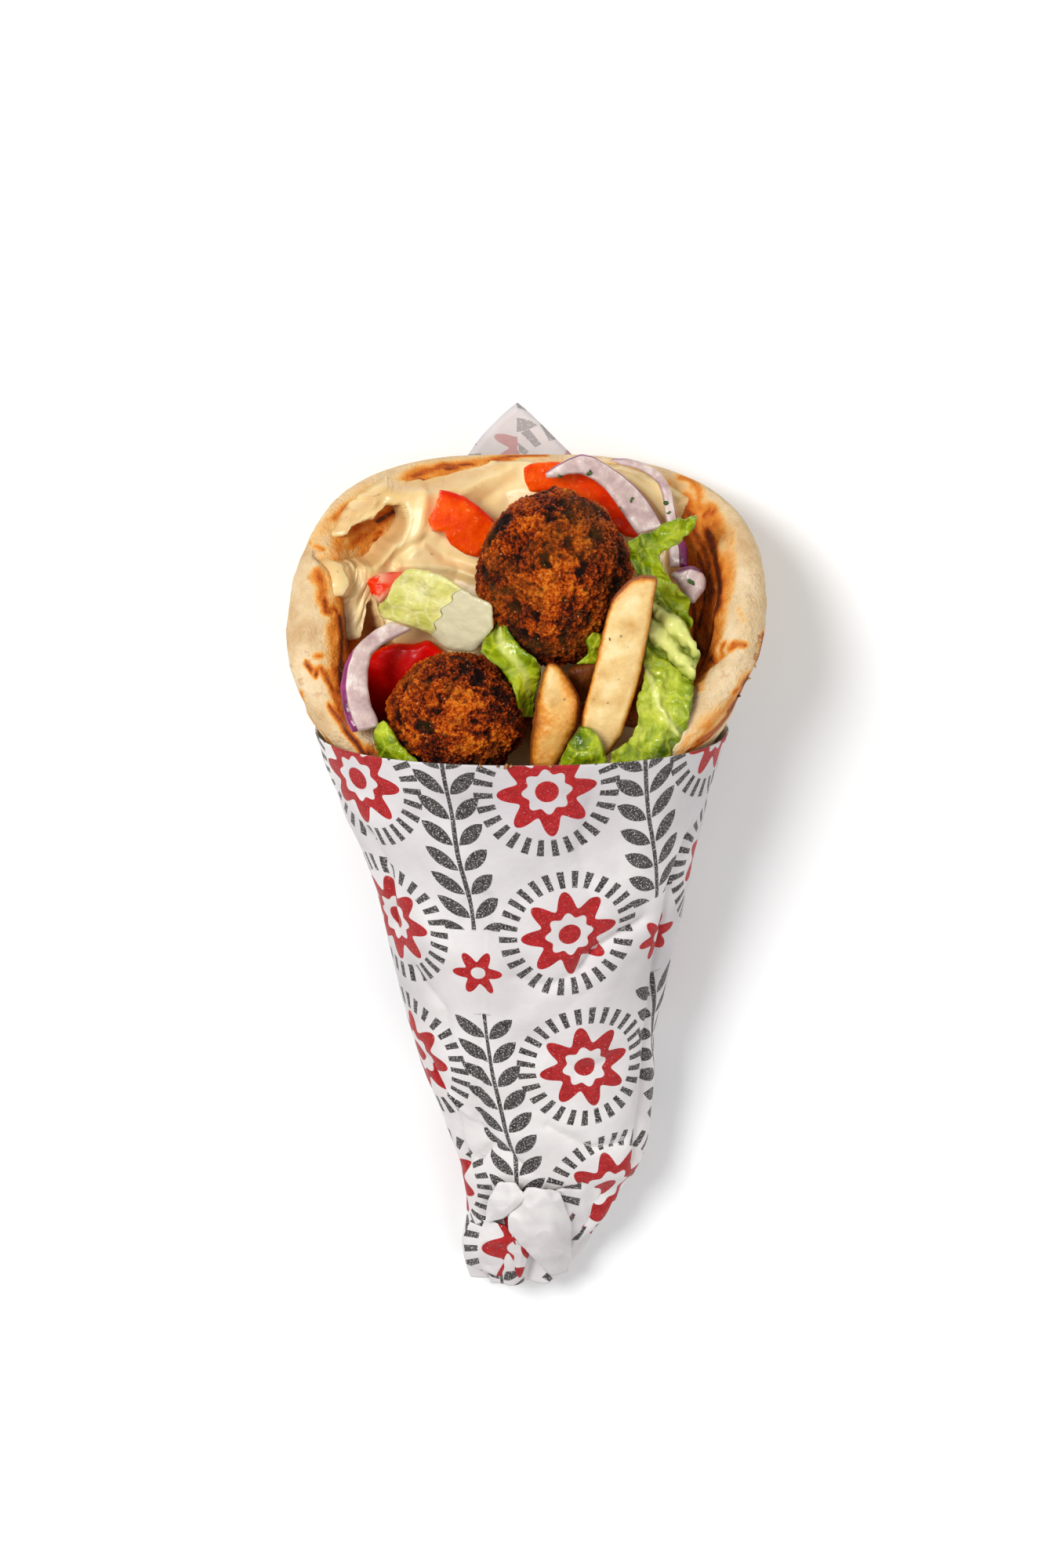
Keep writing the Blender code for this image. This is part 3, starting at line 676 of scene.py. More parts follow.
def paper_surface(shares, rounds, inner):
    """Points of the outer or inner face, and their places on the flat sheet in millimetres."""
    phi = rounds[None]
    angle = np.copysign(math.pi - np.abs(phi), phi)
    low = PAPER_FLOOR_V if inner else TAIL_V
    v = low + (paper_top_v(angle) - low) * shares[:, None]
    angle = np.broadcast_to(angle, v.shape)
    base = section_point(v, angle)
    steps = np.linalg.norm(np.diff(base, axis=1), axis=2)
    around = np.concatenate((np.zeros((len(shares), 1)), np.cumsum(steps, 1)), 1)
    around -= around[:, [len(rounds) // 2]]
    mould = remember(base)
    fold = sum(1.5 * deep * stroke(base, mould, path, radius, 1.15) for radius, deep, *path in FOLDS)
    crinkle = 0.7 * clouds(base, 32, 2, 3.0) + 0.9 * (ridges(base, 26, 7.0) - 0.5)
    crinkle = (crinkle + 0.25 * clouds(base, 110, 2)) * (0.8 + 0.5 * smooth(75 * MM, 35 * MM, v))
    drawn_in = (fold + (crinkle + 0.5) * smooth(0.5, 1.1, np.abs(angle))) * MM
    drawn_in = drawn_in * smooth(PAPER_EDGE_V + 2 * MM, PAPER_EDGE_V - 16 * MM, v)
    points = section_point(v, angle, drawn_in + tail_folds(v, angle) + (0.4 * MM if inner else 0.0))
    reach = v + 53 * MM
    turn = around / reach + 0.09
    sheet = np.stack((reach * np.sin(turn), reach * np.cos(turn), np.zeros_like(v)), -1) / MM
    return points, sheet


# Folded ends of the paper at the tail: how far each stands off the cone at its edge and in its middle in
# millimetres, where the print of the sheet starts on it, how faded it is, and its outline in photo pixels.
PETALS = (
    (
        1.2, 3.0, (9, 18), 0, (600, 1556), (591, 1578), (594, 1611), (606, 1618), (633, 1627), (664, 1631),
        (676, 1600), (649, 1566), (622, 1556),
    ),
    (
        0.3, 1.4, (15, 4), 0, (700, 1522), (760, 1500), (800, 1495), (812, 1492), (796, 1512), (780, 1532),
        (762, 1556), (752, 1580), (738, 1600), (722, 1612), (712, 1560),
    ),
    (3.2, 4.6, (2, 8), 1.7, (636, 1507), (622, 1531), (619, 1560), (644, 1553), (671, 1528), (658, 1509)),
    (
        3.0, 5.0, (21, 30), 1.7, (672, 1514), (714, 1520), (729, 1562), (729, 1598), (724, 1622),
        (704, 1628), (672, 1596), (648, 1570), (648, 1552), (662, 1530),
    ),
)


def tail_petals(surface):
    """The loose ends at the tail as closed sheets, each a grid of rings round its middle."""
    points = surface["points"]
    low = (points[:, 1] < 34 * MM) & (points[:, 2] > 9 * MM)
    x, y, _ = surface["photo"]
    height = fit_height(x[low], y[low], points[low, 2], True)
    shares = np.linspace(0.03, 1, 30)[:, None]
    parts = []
    for number, (edge, middle, start, faded, *outline) in enumerate(PETALS):
        ring = soft_ring(outline, 120, 2.5, 1.2, number * 3.1)
        spots = ring.mean() + shares * (ring - ring.mean())
        x, y = spots.real, spots.imag
        spots = np.stack((x, y, np.full_like(x, number * 50.0)), -1)
        wrinkle = 0.9 * clouds(spots, 0.03, 2) + 1.1 * (ridges(spots, 0.024, 5.0) - 0.5)
        rise = edge + (middle - edge) * (1 - shares**2) + wrinkle
        top = from_photo(x, y, np.clip(height(x, y), 4 * MM, 30 * MM) + rise * MM)
        sheet = np.stack((x - 600, 1500 - y, np.zeros_like(x)), -1) * PIXEL / MM + (*start, 0)
        sheet = np.concatenate((sheet, sheet[::-1])).reshape(-1, 3)
        sides = np.concatenate((top, top[::-1] - (0, 0, 0.35 * MM)))
        parts.append((*capped(sides), {"sheet": sheet, "inner": faded}))
    return parts


def make_paper():
    rounds = np.linspace(-math.pi, math.pi, 361)
    shares = np.concatenate((np.linspace(0, 0.28, 90)[:-1], np.linspace(0.28, 1, 170)))
    outer, outer_sheet = paper_surface(shares, rounds, False)
    inner, inner_sheet = paper_surface(np.linspace(1, 0, 80), rounds, True)
    points = np.concatenate((outer, inner))
    faces = [*grid_faces(len(points), len(rounds))]
    # A fan of triangles shuts the tail.
    points = np.concatenate((points.reshape(-1, 3), [outer[0].mean(0)]))
    middle = len(points) - 1
    faces += [(i + 1, i, middle) for i in range(len(rounds) - 1)]
    sheet = np.concatenate((outer_sheet.reshape(-1, 3), inner_sheet.reshape(-1, 3), [(0, 53, 0)]))
    is_inner = np.repeat((0.0, 1.0, 0.0), (outer[..., 0].size, inner[..., 0].size, 1))
    surface = remember(outer)
    cone = points, faces, {"sheet": sheet, "inner": is_inner}
    points, faces, facts = join([cone, *tail_petals(surface)])
    add_piece("paper", points, faces, ("paper", paper_material()), "paper_wrap", **facts)
    return surface


# Flatbread.


def bread_half_width_at(v):
    share = np.minimum(1, np.abs(v - BREAD_MIDDLE_V) / BREAD_HALF_LENGTH)
    return BREAD_HALF_WIDTH * (1 - share**BREAD_SQUARENESS) ** (1 / BREAD_SQUARENESS)


def bend_bread(across, along):
    """Where a place of the flat bread goes when it is folded round the filling: v and the angle round."""
    v = BREAD_MIDDLE_V + along.ravel()
    outline = angle_at(v, np.zeros_like(v), BREAD_INSET)[1]
    across = across.ravel() + BREAD_SHIFT
    reach = bread_half_width_at(v) + np.where(across > 0, BREAD_SHIFT, -BREAD_SHIFT)
    across = across * np.minimum(1, (outline - BREAD_EDGE_GAP) / np.maximum(reach, 1e-6))
    angle = np.copysign(angle_at(v, np.abs(across), BREAD_INSET)[0], across)
    return v.reshape(along.shape), angle.reshape(along.shape)


def even_turns(count):
    """Turns round the bread's outline at even distances."""
    turn = np.linspace(0, 2 * math.pi, 20001)
    x = BREAD_HALF_WIDTH * power(np.cos(turn), 2 / BREAD_SQUARENESS)
    y = BREAD_HALF_LENGTH * power(np.sin(turn), 2 / BREAD_SQUARENESS)
    length = distance_along(np.stack((x, y), -1))
    return np.interp(np.arange(count) / count * length[-1], length, turn)


# Browning of the bread, with painted shade on its right inner wall and in a dark line at its left, as
# strokes on
# its surface: radius in pixels, strength, and path in photo pixels.
TOAST_AND_SHADE = (
    (9, 0.8, (958, 868), (948, 892), (930, 915), (912, 932), (895, 946)),
    (20, 0.34, (950, 875), (938, 895), (920, 915), (900, 932)),
    (6, 0.36, (372, 888), (385, 915), (402, 938), (430, 958), (455, 972)),
    (10, 0.66, (448, 925), (458, 942), (470, 962), (480, 978)),
    (12, 0.5, (424, 800), (428, 840), (432, 880), (440, 915)),
    (6, 0.36, (474, 624), (464, 642), (450, 656), (440, 672)),
    (16, 0.2, (400, 690), (414, 668), (440, 642), (470, 620)),
    (6, 0.42, (428, 664), (446, 646), (468, 634)),
    (12, 0.45, (520, 608), (540, 600), (560, 594), (600, 590), (650, 584)),
    # On the right inner wall: browning and painted shade.
    (8, 0.5, (870, 606), (884, 612), (892, 630), (890, 650)),
    (14, 0.62, (876, 640), (884, 670), (892, 700)),
    (14, 0.6, (898, 700), (904, 740), (906, 780), (902, 820)),
    (9, 0.5, (408, 728), (414, 745), (412, 765)),
    (7, 0.3, (398, 732), (402, 742)),
    (6, 0.35, (418, 720), (424, 735)),
    (6, 0.75, (415, 765), (418, 780), (432, 776)),
    # The next two strokes, the dark line between the rim and the spread at the left: painted shade.
    (7, 0.95, (436, 785), (438, 810), (436, 840), (434, 865), (438, 880)),
    (8, 0.5, (428, 790), (428, 830), (426, 860)),
    (5, 0.5, (402, 834), (412, 840)),
    (4, 0.75, (388, 845), (400, 860), (412, 880), (420, 900)),
    (5, 0.6, (410, 852), (424, 878), (434, 905)),
    (4, 0.35, (378, 890), (386, 912), (400, 930)),
    (6, 0.7, (425, 905), (436, 922), (444, 936)),
    (5, 0.8, (440, 930), (452, 945), (462, 960)),
    (4, 0.45, (396, 938), (420, 955), (450, 966)),
    (3, 0.5, (392, 692), (402, 694), (414, 704)),
    (10, 0.46, (445, 700), (462, 690), (478, 676)),
    (6, 0.86, (484, 668), (494, 661), (502, 653)),
    (5, 0.66, (478, 690), (488, 678)),
    (7, 0.62, (528, 606), (550, 596), (566, 592), (586, 596)),
    (5, 0.75, (573, 595), (588, 593), (600, 590)),
    (4, 0.8, (524, 614), (538, 612)),
    (5, 0.65, (626, 588), (650, 580), (680, 574), (700, 574)),
    # More of the right inner wall: browning and painted shade.
    (9, 0.5, (872, 628), (876, 650), (868, 680)),
    (5, 0.45, (880, 620), (888, 612), (893, 622)),
    (5, 0.55, (896, 656), (902, 650), (910, 648)),
    (6, 0.42, (905, 690), (920, 688), (932, 692)),
    (7, 0.6, (893, 668), (898, 690), (906, 700)),
    (10, 0.75, (884, 680), (896, 700), (902, 722), (900, 745)),
    (8, 0.84, (888, 705), (896, 730), (896, 765), (890, 800)),
    (7, 0.55, (903, 745), (905, 775), (898, 810)),
    (9, 0.7, (880, 740), (884, 780), (884, 820)),
    (7, 0.95, (884, 820), (892, 835), (904, 842)),
    (13, 0.9, (900, 680), (911, 712), (915, 748), (913, 776), (906, 802), (899, 830)),
    (5, 0.66, (896, 656), (907, 651)),
    (11, 0.74, (866, 636), (880, 660), (892, 690)),
    (4, 0.5, (912, 820), (922, 820), (918, 830)),
    (5, 0.5, (935, 822), (948, 820), (952, 826)),
    (4, 0.45, (922, 838), (935, 830)),
    (6, 0.4, (896, 862), (890, 880), (884, 900)),
    (5, 0.9, (975, 812), (974, 830), (970, 846)),
    (5, 0.85, (956, 872), (950, 890), (940, 902)),
    (6, 0.45, (940, 880), (926, 905), (905, 930), (884, 948)),
    (5, 0.8, (948, 896), (925, 925), (905, 944), (880, 960)),
    (5, 0.35, (880, 944), (866, 962)),
    (4, 0.25, (942, 780), (948, 790)),
)

# Dents and creases of the bread: radius in pixels, depth in millimetres, and path in photo pixels.
DENTS = (
    (6, 3.0, (388, 694), (402, 700), (420, 716)),
    (5, 1.6, (380, 700), (396, 690)),
    (5, 2.2, (892, 856), (904, 848), (918, 838), (932, 830)),
    (9, 1.0, (905, 690), (925, 684), (945, 672)),
    (6, 1.2, (893, 652), (908, 646), (925, 640)),
    (7, 1.0, (385, 844), (402, 852), (424, 866)),
    (9, 0.6, (372, 780), (384, 776)),
    (12, 0.8, (950, 745), (962, 760)),
    (8, 0.8, (935, 900), (915, 890)),
)


def bread_relief(points, across, along, inside):
    flat = np.stack((across * 42, along * 42, np.full_like(across, 4.0 if inside else 9.0)), -1)
    soft = 1.5 * (0.5 - 0.5 * clouds(flat, 1))
    puffs = 0.8 * (0.5 - 0.5 * clouds(flat, 2.8, 2, 5.0))
    return (soft + puffs + 0.2 * clouds(points, 420, 2)) * MM


def plumpness(v, angle, inside):
    """How much thicker the bread is near the mouth than in the part's source."""
    above = smooth(PAPER_EDGE_V - (1 if inside else 5) * MM, PAPER_EDGE_V + 6 * MM, v)
    left = smooth(0.3 * math.pi, 0.55 * math.pi, -angle)
    right = smooth(0.3 * math.pi, 0.55 * math.pi, angle)
    return (left * (3.2 if inside else 2.4) + right * (1.0 if inside else 1.9)) * above * MM


def make_bread():
    around = 420
    half = BREAD_THICKNESS / 2
    rim = half / BREAD_HALF_WIDTH
    turns = even_turns(around)
    steps = np.radians(np.linspace(6, 88, 13))
    shares = np.append((1 - rim) * np.linspace(0.012, 1, 84) ** 0.8, 1 - rim * (1 - np.sin(steps)))[:, None]
    levels = np.append(np.ones(84), np.cos(steps))[:, None]
    across = shares * BREAD_HALF_WIDTH * power(np.cos(turns), 2 / BREAD_SQUARENESS)
    along = shares * BREAD_HALF_LENGTH * power(np.sin(turns), 2 / BREAD_SQUARENESS)
    v, angle = bend_bread(across, along)
    core = section_point(v, angle, BREAD_INSET)
    sides = []
    for inside in (True, False):
        relief = bread_relief(core, across, along, inside) * np.minimum(1, levels * 1.5)
        rise = levels * (half + plumpness(v, angle, inside)) - relief
        if not inside:
            rise -= 2.6 * MM * smooth(PAPER_EDGE_V - 6 * MM, PAPER_EDGE_V - 18 * MM, v)
        sides.append(section_point(v, angle, BREAD_INSET + (rise if inside else -rise)))
    points = np.concatenate((sides[0], sides[1][::-1]))
    dent = paint(points, remember(points), DENTS) * MM
    inward = np.concatenate((core, core[::-1])) - points
    reach = np.maximum(np.linalg.norm(inward, axis=-1), MM)
    points = points + inward * np.minimum(0.9, dent / reach)[..., None]
    faces = [*grid_faces(len(points), around, True)]
    # Fans of triangles shut the middle of the inner and the outer side.
    flat = np.concatenate((points.reshape(-1, 3), [points[0].mean(0), points[-1].mean(0)]))
    count = len(flat) - 2
    for i in range(around):
        faces.append((i, (i + 1) % around, count))
        faces.append((count - 1 - i, count - 1 - (i + 1) % around, count + 1))
    surface = remember(points)
    level = np.broadcast_to(levels, across.shape)
    inner = np.append(np.concatenate((level, -level[::-1])).ravel(), (1, -1))
    # Inside the fold the bread is toasted all over, in patches.
    amount = 0.52 - 0.2 * smooth(172 * MM, 182 * MM, flat[:, 1]) * smooth(10 * MM, -10 * MM, flat[:, 0])
    deep = amount * smooth(0.3, 1.0, inner) + 0.3 * smooth(0.5, 1.0, inner) * clouds(flat, 70, 3, 1.0)
    toast = np.maximum(paint(flat, surface, TOAST_AND_SHADE), deep)
    add_piece("bread", flat, faces, ("bread", bread_material()), "pita", toast=toast)
    return surface


# Hummus.

# Millimetres: place along v, and height of the filling there.
HUMMUS_LEVELS = (
    (100, 60), (106, 50), (118, 45), (132, 36), (145, 31), (160, 29), (172, 27), (184, 24), (194, 21),
    (202, 18), (206, 16.5),
)

# Outline of the spread in photo pixels, with a bare toasted patch and pointed smears at the left.
SPREAD = (
    (474, 622), (479, 612), (496, 613), (516, 617), (546, 613), (572, 608), (590, 600), (605, 597),
    (622, 593), (646, 585), (681, 578), (716, 578), (763, 577), (787, 583), (816, 591), (843, 602),
    (858, 612), (872, 612), (872, 645), (864, 660), (860, 710), (856, 780), (800, 885), (540, 885),
    (530, 850), (486, 800), (479, 792), (470, 765), (466, 795), (458, 812), (446, 816), (441, 804),
    (443, 792), (441, 778), (439, 766), (434, 763), (430, 766), (425, 776), (420, 784), (417, 786),
    (414, 761), (420, 742), (426, 725), (425, 711), (434, 714), (452, 712), (470, 709), (481, 703),
    (487, 694), (495, 684), (503, 679), (509, 666), (511, 654), (507, 645), (493, 645), (483, 651),
    (475, 659), (467, 665), (458, 669), (449, 672), (443, 683), (439, 684), (437, 672), (441, 664),
    (448, 657), (453, 648), (462, 644), (471, 638),
)

# Ridges and valleys drawn in the spread: radius in pixels, height in millimetres, and path in photo pixels.
SWIRLS = (
    (7, 0.9, (475, 622), (516, 620), (552, 622), (590, 607), (640, 593)),
    (6, 1.1, (492, 640), (464, 655), (447, 671)),
    (9, -1.1, (545, 632), (541, 665), (530, 700)),
    (6, 1.4, (505, 706), (546, 690), (572, 707), (606, 725)),
    (6, -1.3, (516, 724), (575, 724), (606, 738)),
    (6, 1.0, (449, 719), (472, 714), (503, 722)),
    (8, 0.8, (620, 640), (640, 615), (662, 600)),
    (6, -0.7, (592, 630), (622, 610), (650, 600)),
    (4, 0.8, (428, 722), (417, 755), (415, 782)),
    (5, 1.0, (443, 730), (452, 765), (450, 800)),
    (4, -0.9, (436, 735), (440, 770)),
    (8, 0.7, (690, 590), (740, 588), (780, 594)),
    (7, 0.9, (820, 606), (846, 622), (862, 640)),
    (6, -0.8, (800, 612), (826, 632), (846, 660)),
)


def hummus_height(u, v):
    level = np.interp(v / MM, *np.transpose(HUMMUS_LEVELS)) * MM
    spread = smooth(150 * MM, 172 * MM, v)
    left = np.maximum(0, -u / (40 * MM))
    right = np.maximum(0, (u - 14 * MM) / (30 * MM))
    wall = (7 * left**2 + 5 * right**2) * spread * MM
    flat = np.stack((u * 95, v * 95, np.full_like(u, 2.0)), -1)
    return level + wall + 1.3 * spread * clouds(flat, 1) * MM


def ceiling(u, v):
    """Height at u of the upper half of the space inside the bread."""
    width, height, lean = section_size(v)
    inset = BREAD_INSET + BREAD_THICKNESS / 2 + 1 * MM
    share = np.minimum(1, np.abs(u - lean) / (width / 2 - inset))
    return (height - SINK) / 2 + ((height + SINK) / 2 - inset) * (1 - share**ROUNDNESS) ** (1 / ROUNDNESS)


def make_hummus():
    v = np.linspace(54 * MM, 205.4 * MM, 280)
    edge = angle_at(v, np.maximum(MM, bread_half_width_at(v) - 5.5 * MM), BREAD_INSET)[0]
    angle = np.minimum(edge, 0.8 * math.pi)[:, None] * np.linspace(-1, 1, 300)
    v = np.broadcast_to(v[:, None], angle.shape)
    bread_face = BREAD_INSET + BREAD_THICKNESS / 2 - 0.4 * MM + plumpness(v, angle, True)
    bare = section_point(v, angle, bread_face)
    x, y, _ = to_photo(bare)
    wobble = 4.0 * clouds(bare, 120, 2, 2.0) + 3.0 * clouds(bare, 380, 2, 8.0)
    cover = inside_by(x, y, SPREAD) + 0.8 * wobble - 1.5
    # The spread is thick inside its outline and sinks into the bread outside it.
    streaks = clouds(bare * np.array((1.0, 0.35, 0.5)), 260, 2, 4.0)
    thick = np.interp(cover, (-8, -3, 2, 8, 16, 30), (-5.0, -3.8, 0.4, 1.6, 2.2, 2.8)) * MM
    thick += smooth(0, 12, cover) * (0.5 * streaks + 0.7 * clouds(bare, 70, 2, 6.0)) * MM
    thick = np.where(thick > 0, thick * smooth(206.4 * MM, 200 * MM, v), thick - plumpness(v, angle, True))
    points = section_point(v, angle, bread_face + thick)
    # Between the walls it fills the bread up to a level.
    pool = np.minimum(hummus_height(points[..., 0], v), ceiling(points[..., 0], v))
    lift = np.maximum(0, pool - points[..., 2]) * smooth(0.62 * math.pi, 0.42 * math.pi, np.abs(angle))
    covered = np.maximum(smooth(-5, 7, cover), smooth(144 * MM, 139 * MM, v))
    points[..., 2] += lift * covered * (0.15 + 0.85 * smooth(206 * MM, 200 * MM, v))
    normals = grid_normals(points)
    folds = 1.3 * clouds(points, 55, 2, 9.0) + 0.7 * (ridges(points, 62, 3.0) - 0.5)
    folds += 0.25 * clouds(points, 190, 2)
    surface = remember(points)
    folds += sum(high * stroke(points, surface, path, radius) for radius, high, *path in SWIRLS)
    fingers = smooth(474, 452, x) * smooth(696, 716, y)
    drawn = np.stack((x * 0.16 + y * 0.05, y * 0.012, np.zeros_like(x)), -1)
    folds = folds * (1 - 0.85 * fingers) + 0.9 * fingers * clouds(drawn, 1.0, 2, 3.0)
    points = points + normals * (folds * MM * smooth(0, 10 - 6 * fingers, cover))[..., None]
    thin = np.exp(-np.maximum(0, cover) / 4.0) * smooth(-2, 2, cover)
    thin = np.maximum(thin, 0.55 * fingers * smooth(0.0, 0.5, clouds(drawn, 1.0, 3, 8.0)))
    both, faces = two_sided(points, section_point(v, angle, bread_face - 5.4 * MM))
    kind = "hummus", hummus_material()
    add_piece("hummus_spread", both, faces, kind, "hummus", thin=np.tile(thin.ravel(), 2))


# Fried balls.


def make_falafel(size, kind, location, radii, seed, shade_strokes):
    """A ragged ball: location and radii in millimetres, and strokes of painted shade and light on its crust.
    """
    bm = bmesh.new()
    bmesh.ops.create_icosphere(bm, subdivisions=7, radius=1)
    bm.verts.ensure_lookup_table()
    directions = np.array([v.co.normalized() for v in bm.verts])
    faces = [[v.index for v in f.verts] for f in bm.faces]
    bm.free()
    shape = 0.055 * clouds(directions + np.array((seed, 0, 0)) / 2.1, 2.1)
    shape += 0.035 * clouds(directions + np.array((0, seed, 0)) / 6.5, 6.5)
    ball = directions * np.array(radii) * MM
    lumps = clouds(ball, 150, 2, seed)
    pits = np.clip(clouds(ball, 260, 2, seed + 7) - 0.22, 0, 1)
    uneven = 0.5 + 0.5 * clouds(ball, 110, 2, seed + 20)
    crumbs = 0.6 * grains(ball, 850, seed) * uneven + 0.9 * grains(ball, 1500, seed + 4)
    crumbs = crumbs + 0.5 * clouds(ball, 900, 3, seed + 11)
    relief = 0.45 * lumps + 0.8 * crumbs - 1.3 * pits
    points = ball * (1 + shape)[:, None] + directions * ((relief - 0.5) * MM)[:, None]
    # Darker in the pits and lighter on the raised crumbs: painted shade and painted light that follow the
    # relief.
    crag = np.clip(0.28 + 0.3 * lumps + 0.55 * crumbs - 1.3 * pits, 0, 1)
    points = points + np.array(location) * MM
    # Painted shade on the ball's edges and underside, and painted light where a stroke is negative.
    burn = paint(points, remember(points), shade_strokes)
    add_piece(f"falafel_ball_{size}", points, faces, kind, f"falafel_{size}", crag=crag, burn=burn)


def make_falafels():
    kind = "falafel", falafel_material()
    # Painted shade on the large ball's bottom, left, top and right edges.
    shade_strokes = [
        (30, 0.8, (640, 850), (700, 880), (750, 840)),
        (20, 0.5, (620, 690), (616, 740)),
        (26, 0.6, (650, 645), (700, 628), (752, 655)),
        (26, 0.7, (784, 690), (798, 740), (790, 800)),
    ]
    make_falafel("large", kind, (6.4, 183.7, 39), (17.6, 20.4, 16.5), 3.0, shade_strokes)
    # Painted shade on the small ball's bottom, right and top, and painted light on its upper left.
    shade_strokes = [
        (26, 0.6, (540, 960), (600, 985), (640, 975)),
        (36, -0.3, (560, 880), (600, 930)),
        (20, 0.7, (640, 866), (662, 920), (662, 960)),
        (14, 0.5, (545, 860), (600, 846), (636, 858)),
    ]
    make_falafel("small", kind, (-15.9, 152.6, 47), (15.6, 15.2, 15.2), 8.0, shade_strokes)


# Pieces cut from vegetables and potato. Their outlines are drawn in photo pixels, and their heights come
# from the CAD solids that they replace.


def node_height(node, curved):
    """Height of the shown side of a CAD node as a smooth function of the photo pixel."""
    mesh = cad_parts[node].data
    spots = np.array([v.co for v in mesh.vertices if v.normal.dot(BACK) > 0.35])
    points = np.stack((SIDE_SHIFT - spots[:, 0], MIDDLE_V - spots[:, 1], spots[:, 2]), -1)
    x, y, _ = to_photo(points)
    w = points[:, 2]
    height = fit_height(x, y, w, curved)
    return lambda x, y: np.clip(height(x, y), w.min() - 0.5 * MM, w.max() + 0.8 * MM)


def facts_at(facts, *places):
    """Facts at given places. Each is a number, or a function of the places."""
    values = {key: fact(*places) if callable(fact) else fact for key, fact in facts.items()}
    return {key: np.broadcast_to(value, np.shape(places[0])) for key, value in values.items()}


def make_slab(name, node, kind, outline, thick, bevel, crown, soften, jag, lumps=0.25, **facts):
    """A piece with a drawn outline. Its thickness, the radius of its edge, its crown and its lumps are in
    millimetres. Facts are functions of the pixel and of the millimetres from the outline."""
    count, seed = 260, len(name) * 1.7
    ring = soft_ring(outline, count, soften, jag, seed)
    shares = np.concatenate((np.linspace(0.02, 0.8, 26), np.linspace(0.81, 1, 22)))[:, None]
    spots = ring.mean() + shares * (ring - ring.mean())
    x, y = spots.real, spots.imag
    away = np.maximum(0, inside_by(x, y, np.stack((ring.real, ring.imag), -1))) * PIXEL / MM
    drop = bevel - np.sqrt(np.maximum(0, bevel**2 - np.clip(bevel - away, 0, None) ** 2))
    top = node_height(node, False)(x, y)
    flat = from_photo(x, y, top)
    bumps = lumps * clouds(flat, 190, 2, seed) + 0.3 * lumps * clouds(flat, 650, 2, seed)
    upper = top + (crown * (1 - shares**2) + bumps - drop) * MM
    sides = [from_photo(x, y, upper)]
    for share, depth in ((0.995, 0.3), (0.98, 0.55), (0.95, 0.8), (0.85, 0.95), (0.5, 1.0)):
        below = ring.mean() + share * (ring - ring.mean())
        spots = np.concatenate((spots, below[None]))
        sides.append(from_photo(below.real, below.imag, upper[-1] - (thick - bevel) * MM * depth)[None])
    points, faces = capped(np.concatenate(sides))
    points[:, 2] = np.maximum(points[:, 2], 1.5 * MM)
    away = np.append(away, np.zeros(len(points) - away.size))
    values = facts_at(facts, spots.real.ravel(), spots.imag.ravel(), away)
    add_piece(name, points, faces, kind, node, **values)
    return remember(points)


def make_band(name, node, kind, edges, thick, shape=None, jag=0.0, blisters=0.4, bulge=0.0, **facts):
    """A strip or leaf between two edges drawn in photo pixels, its thickness in millimetres. Shape, which
    lifts it, and facts are functions of t along, s across and the pixel."""
    along, across = 120, 46
    first, second = (soft_line(edge, along)[:, None] for edge in edges)
    t, s = np.meshgrid(np.linspace(0, 1, along), np.linspace(-1, 1, across), indexing="ij")
    mixed = first * ((1 - s) / 2)[..., None] + second * ((1 + s) / 2)[..., None]
    seed = len(name) * 2.3
    ragged = np.concatenate((mixed, np.full((along, across, 1), seed)), -1)
    x = mixed[..., 0] + jag * clouds(ragged, 0.1, 3, seed) * np.abs(s) ** 3
    y = mixed[..., 1] + jag * clouds(ragged, 0.1, 3, seed + 9) * np.abs(s) ** 3
    points = from_photo(x, y, node_height(node, True)(x, y) + (shape(t, s, x, y) * MM if shape else 0.0))
    normals = grid_normals(points)
    normals *= np.sign(normals[..., 2].mean())
    bubbles = blisters * (2.2 * clouds(points, 150, 2, seed) + 1.2 * clouds(points, 420, 2, seed))
    points = points + normals * (bubbles * MM)[..., None]
    rounded = np.sqrt(np.maximum(0.02, 1 - s**8)) * np.sqrt(np.maximum(0.02, 1 - (2 * t - 1) ** 30))
    body = normals * (thick * MM / 2 * rounded * (1 + bulge * (1 - s**2)))[..., None]
    both, faces = two_sided(points + body, points - body)
    values = {key: np.tile(value.ravel(), 2) for key, value in facts_at(facts, t, s, x, y).items()}
    add_piece(name, both, faces, kind, node, **values)
    return remember(both)


def enlarged(left, top, scale):
    """Photo pixels of a path that was read off an enlarged part of the photograph."""
    return lambda *path: [(left + x / scale, top + y / scale) for x, y in path]


LEFT_VIEW = enlarged(340, 560, 3.4)
RIGHT_VIEW = enlarged(640, 560, 3.4)
LEAF_VIEW = enlarged(780, 640, 4.5)
HEART_VIEW = enlarged(470, 690, 6)

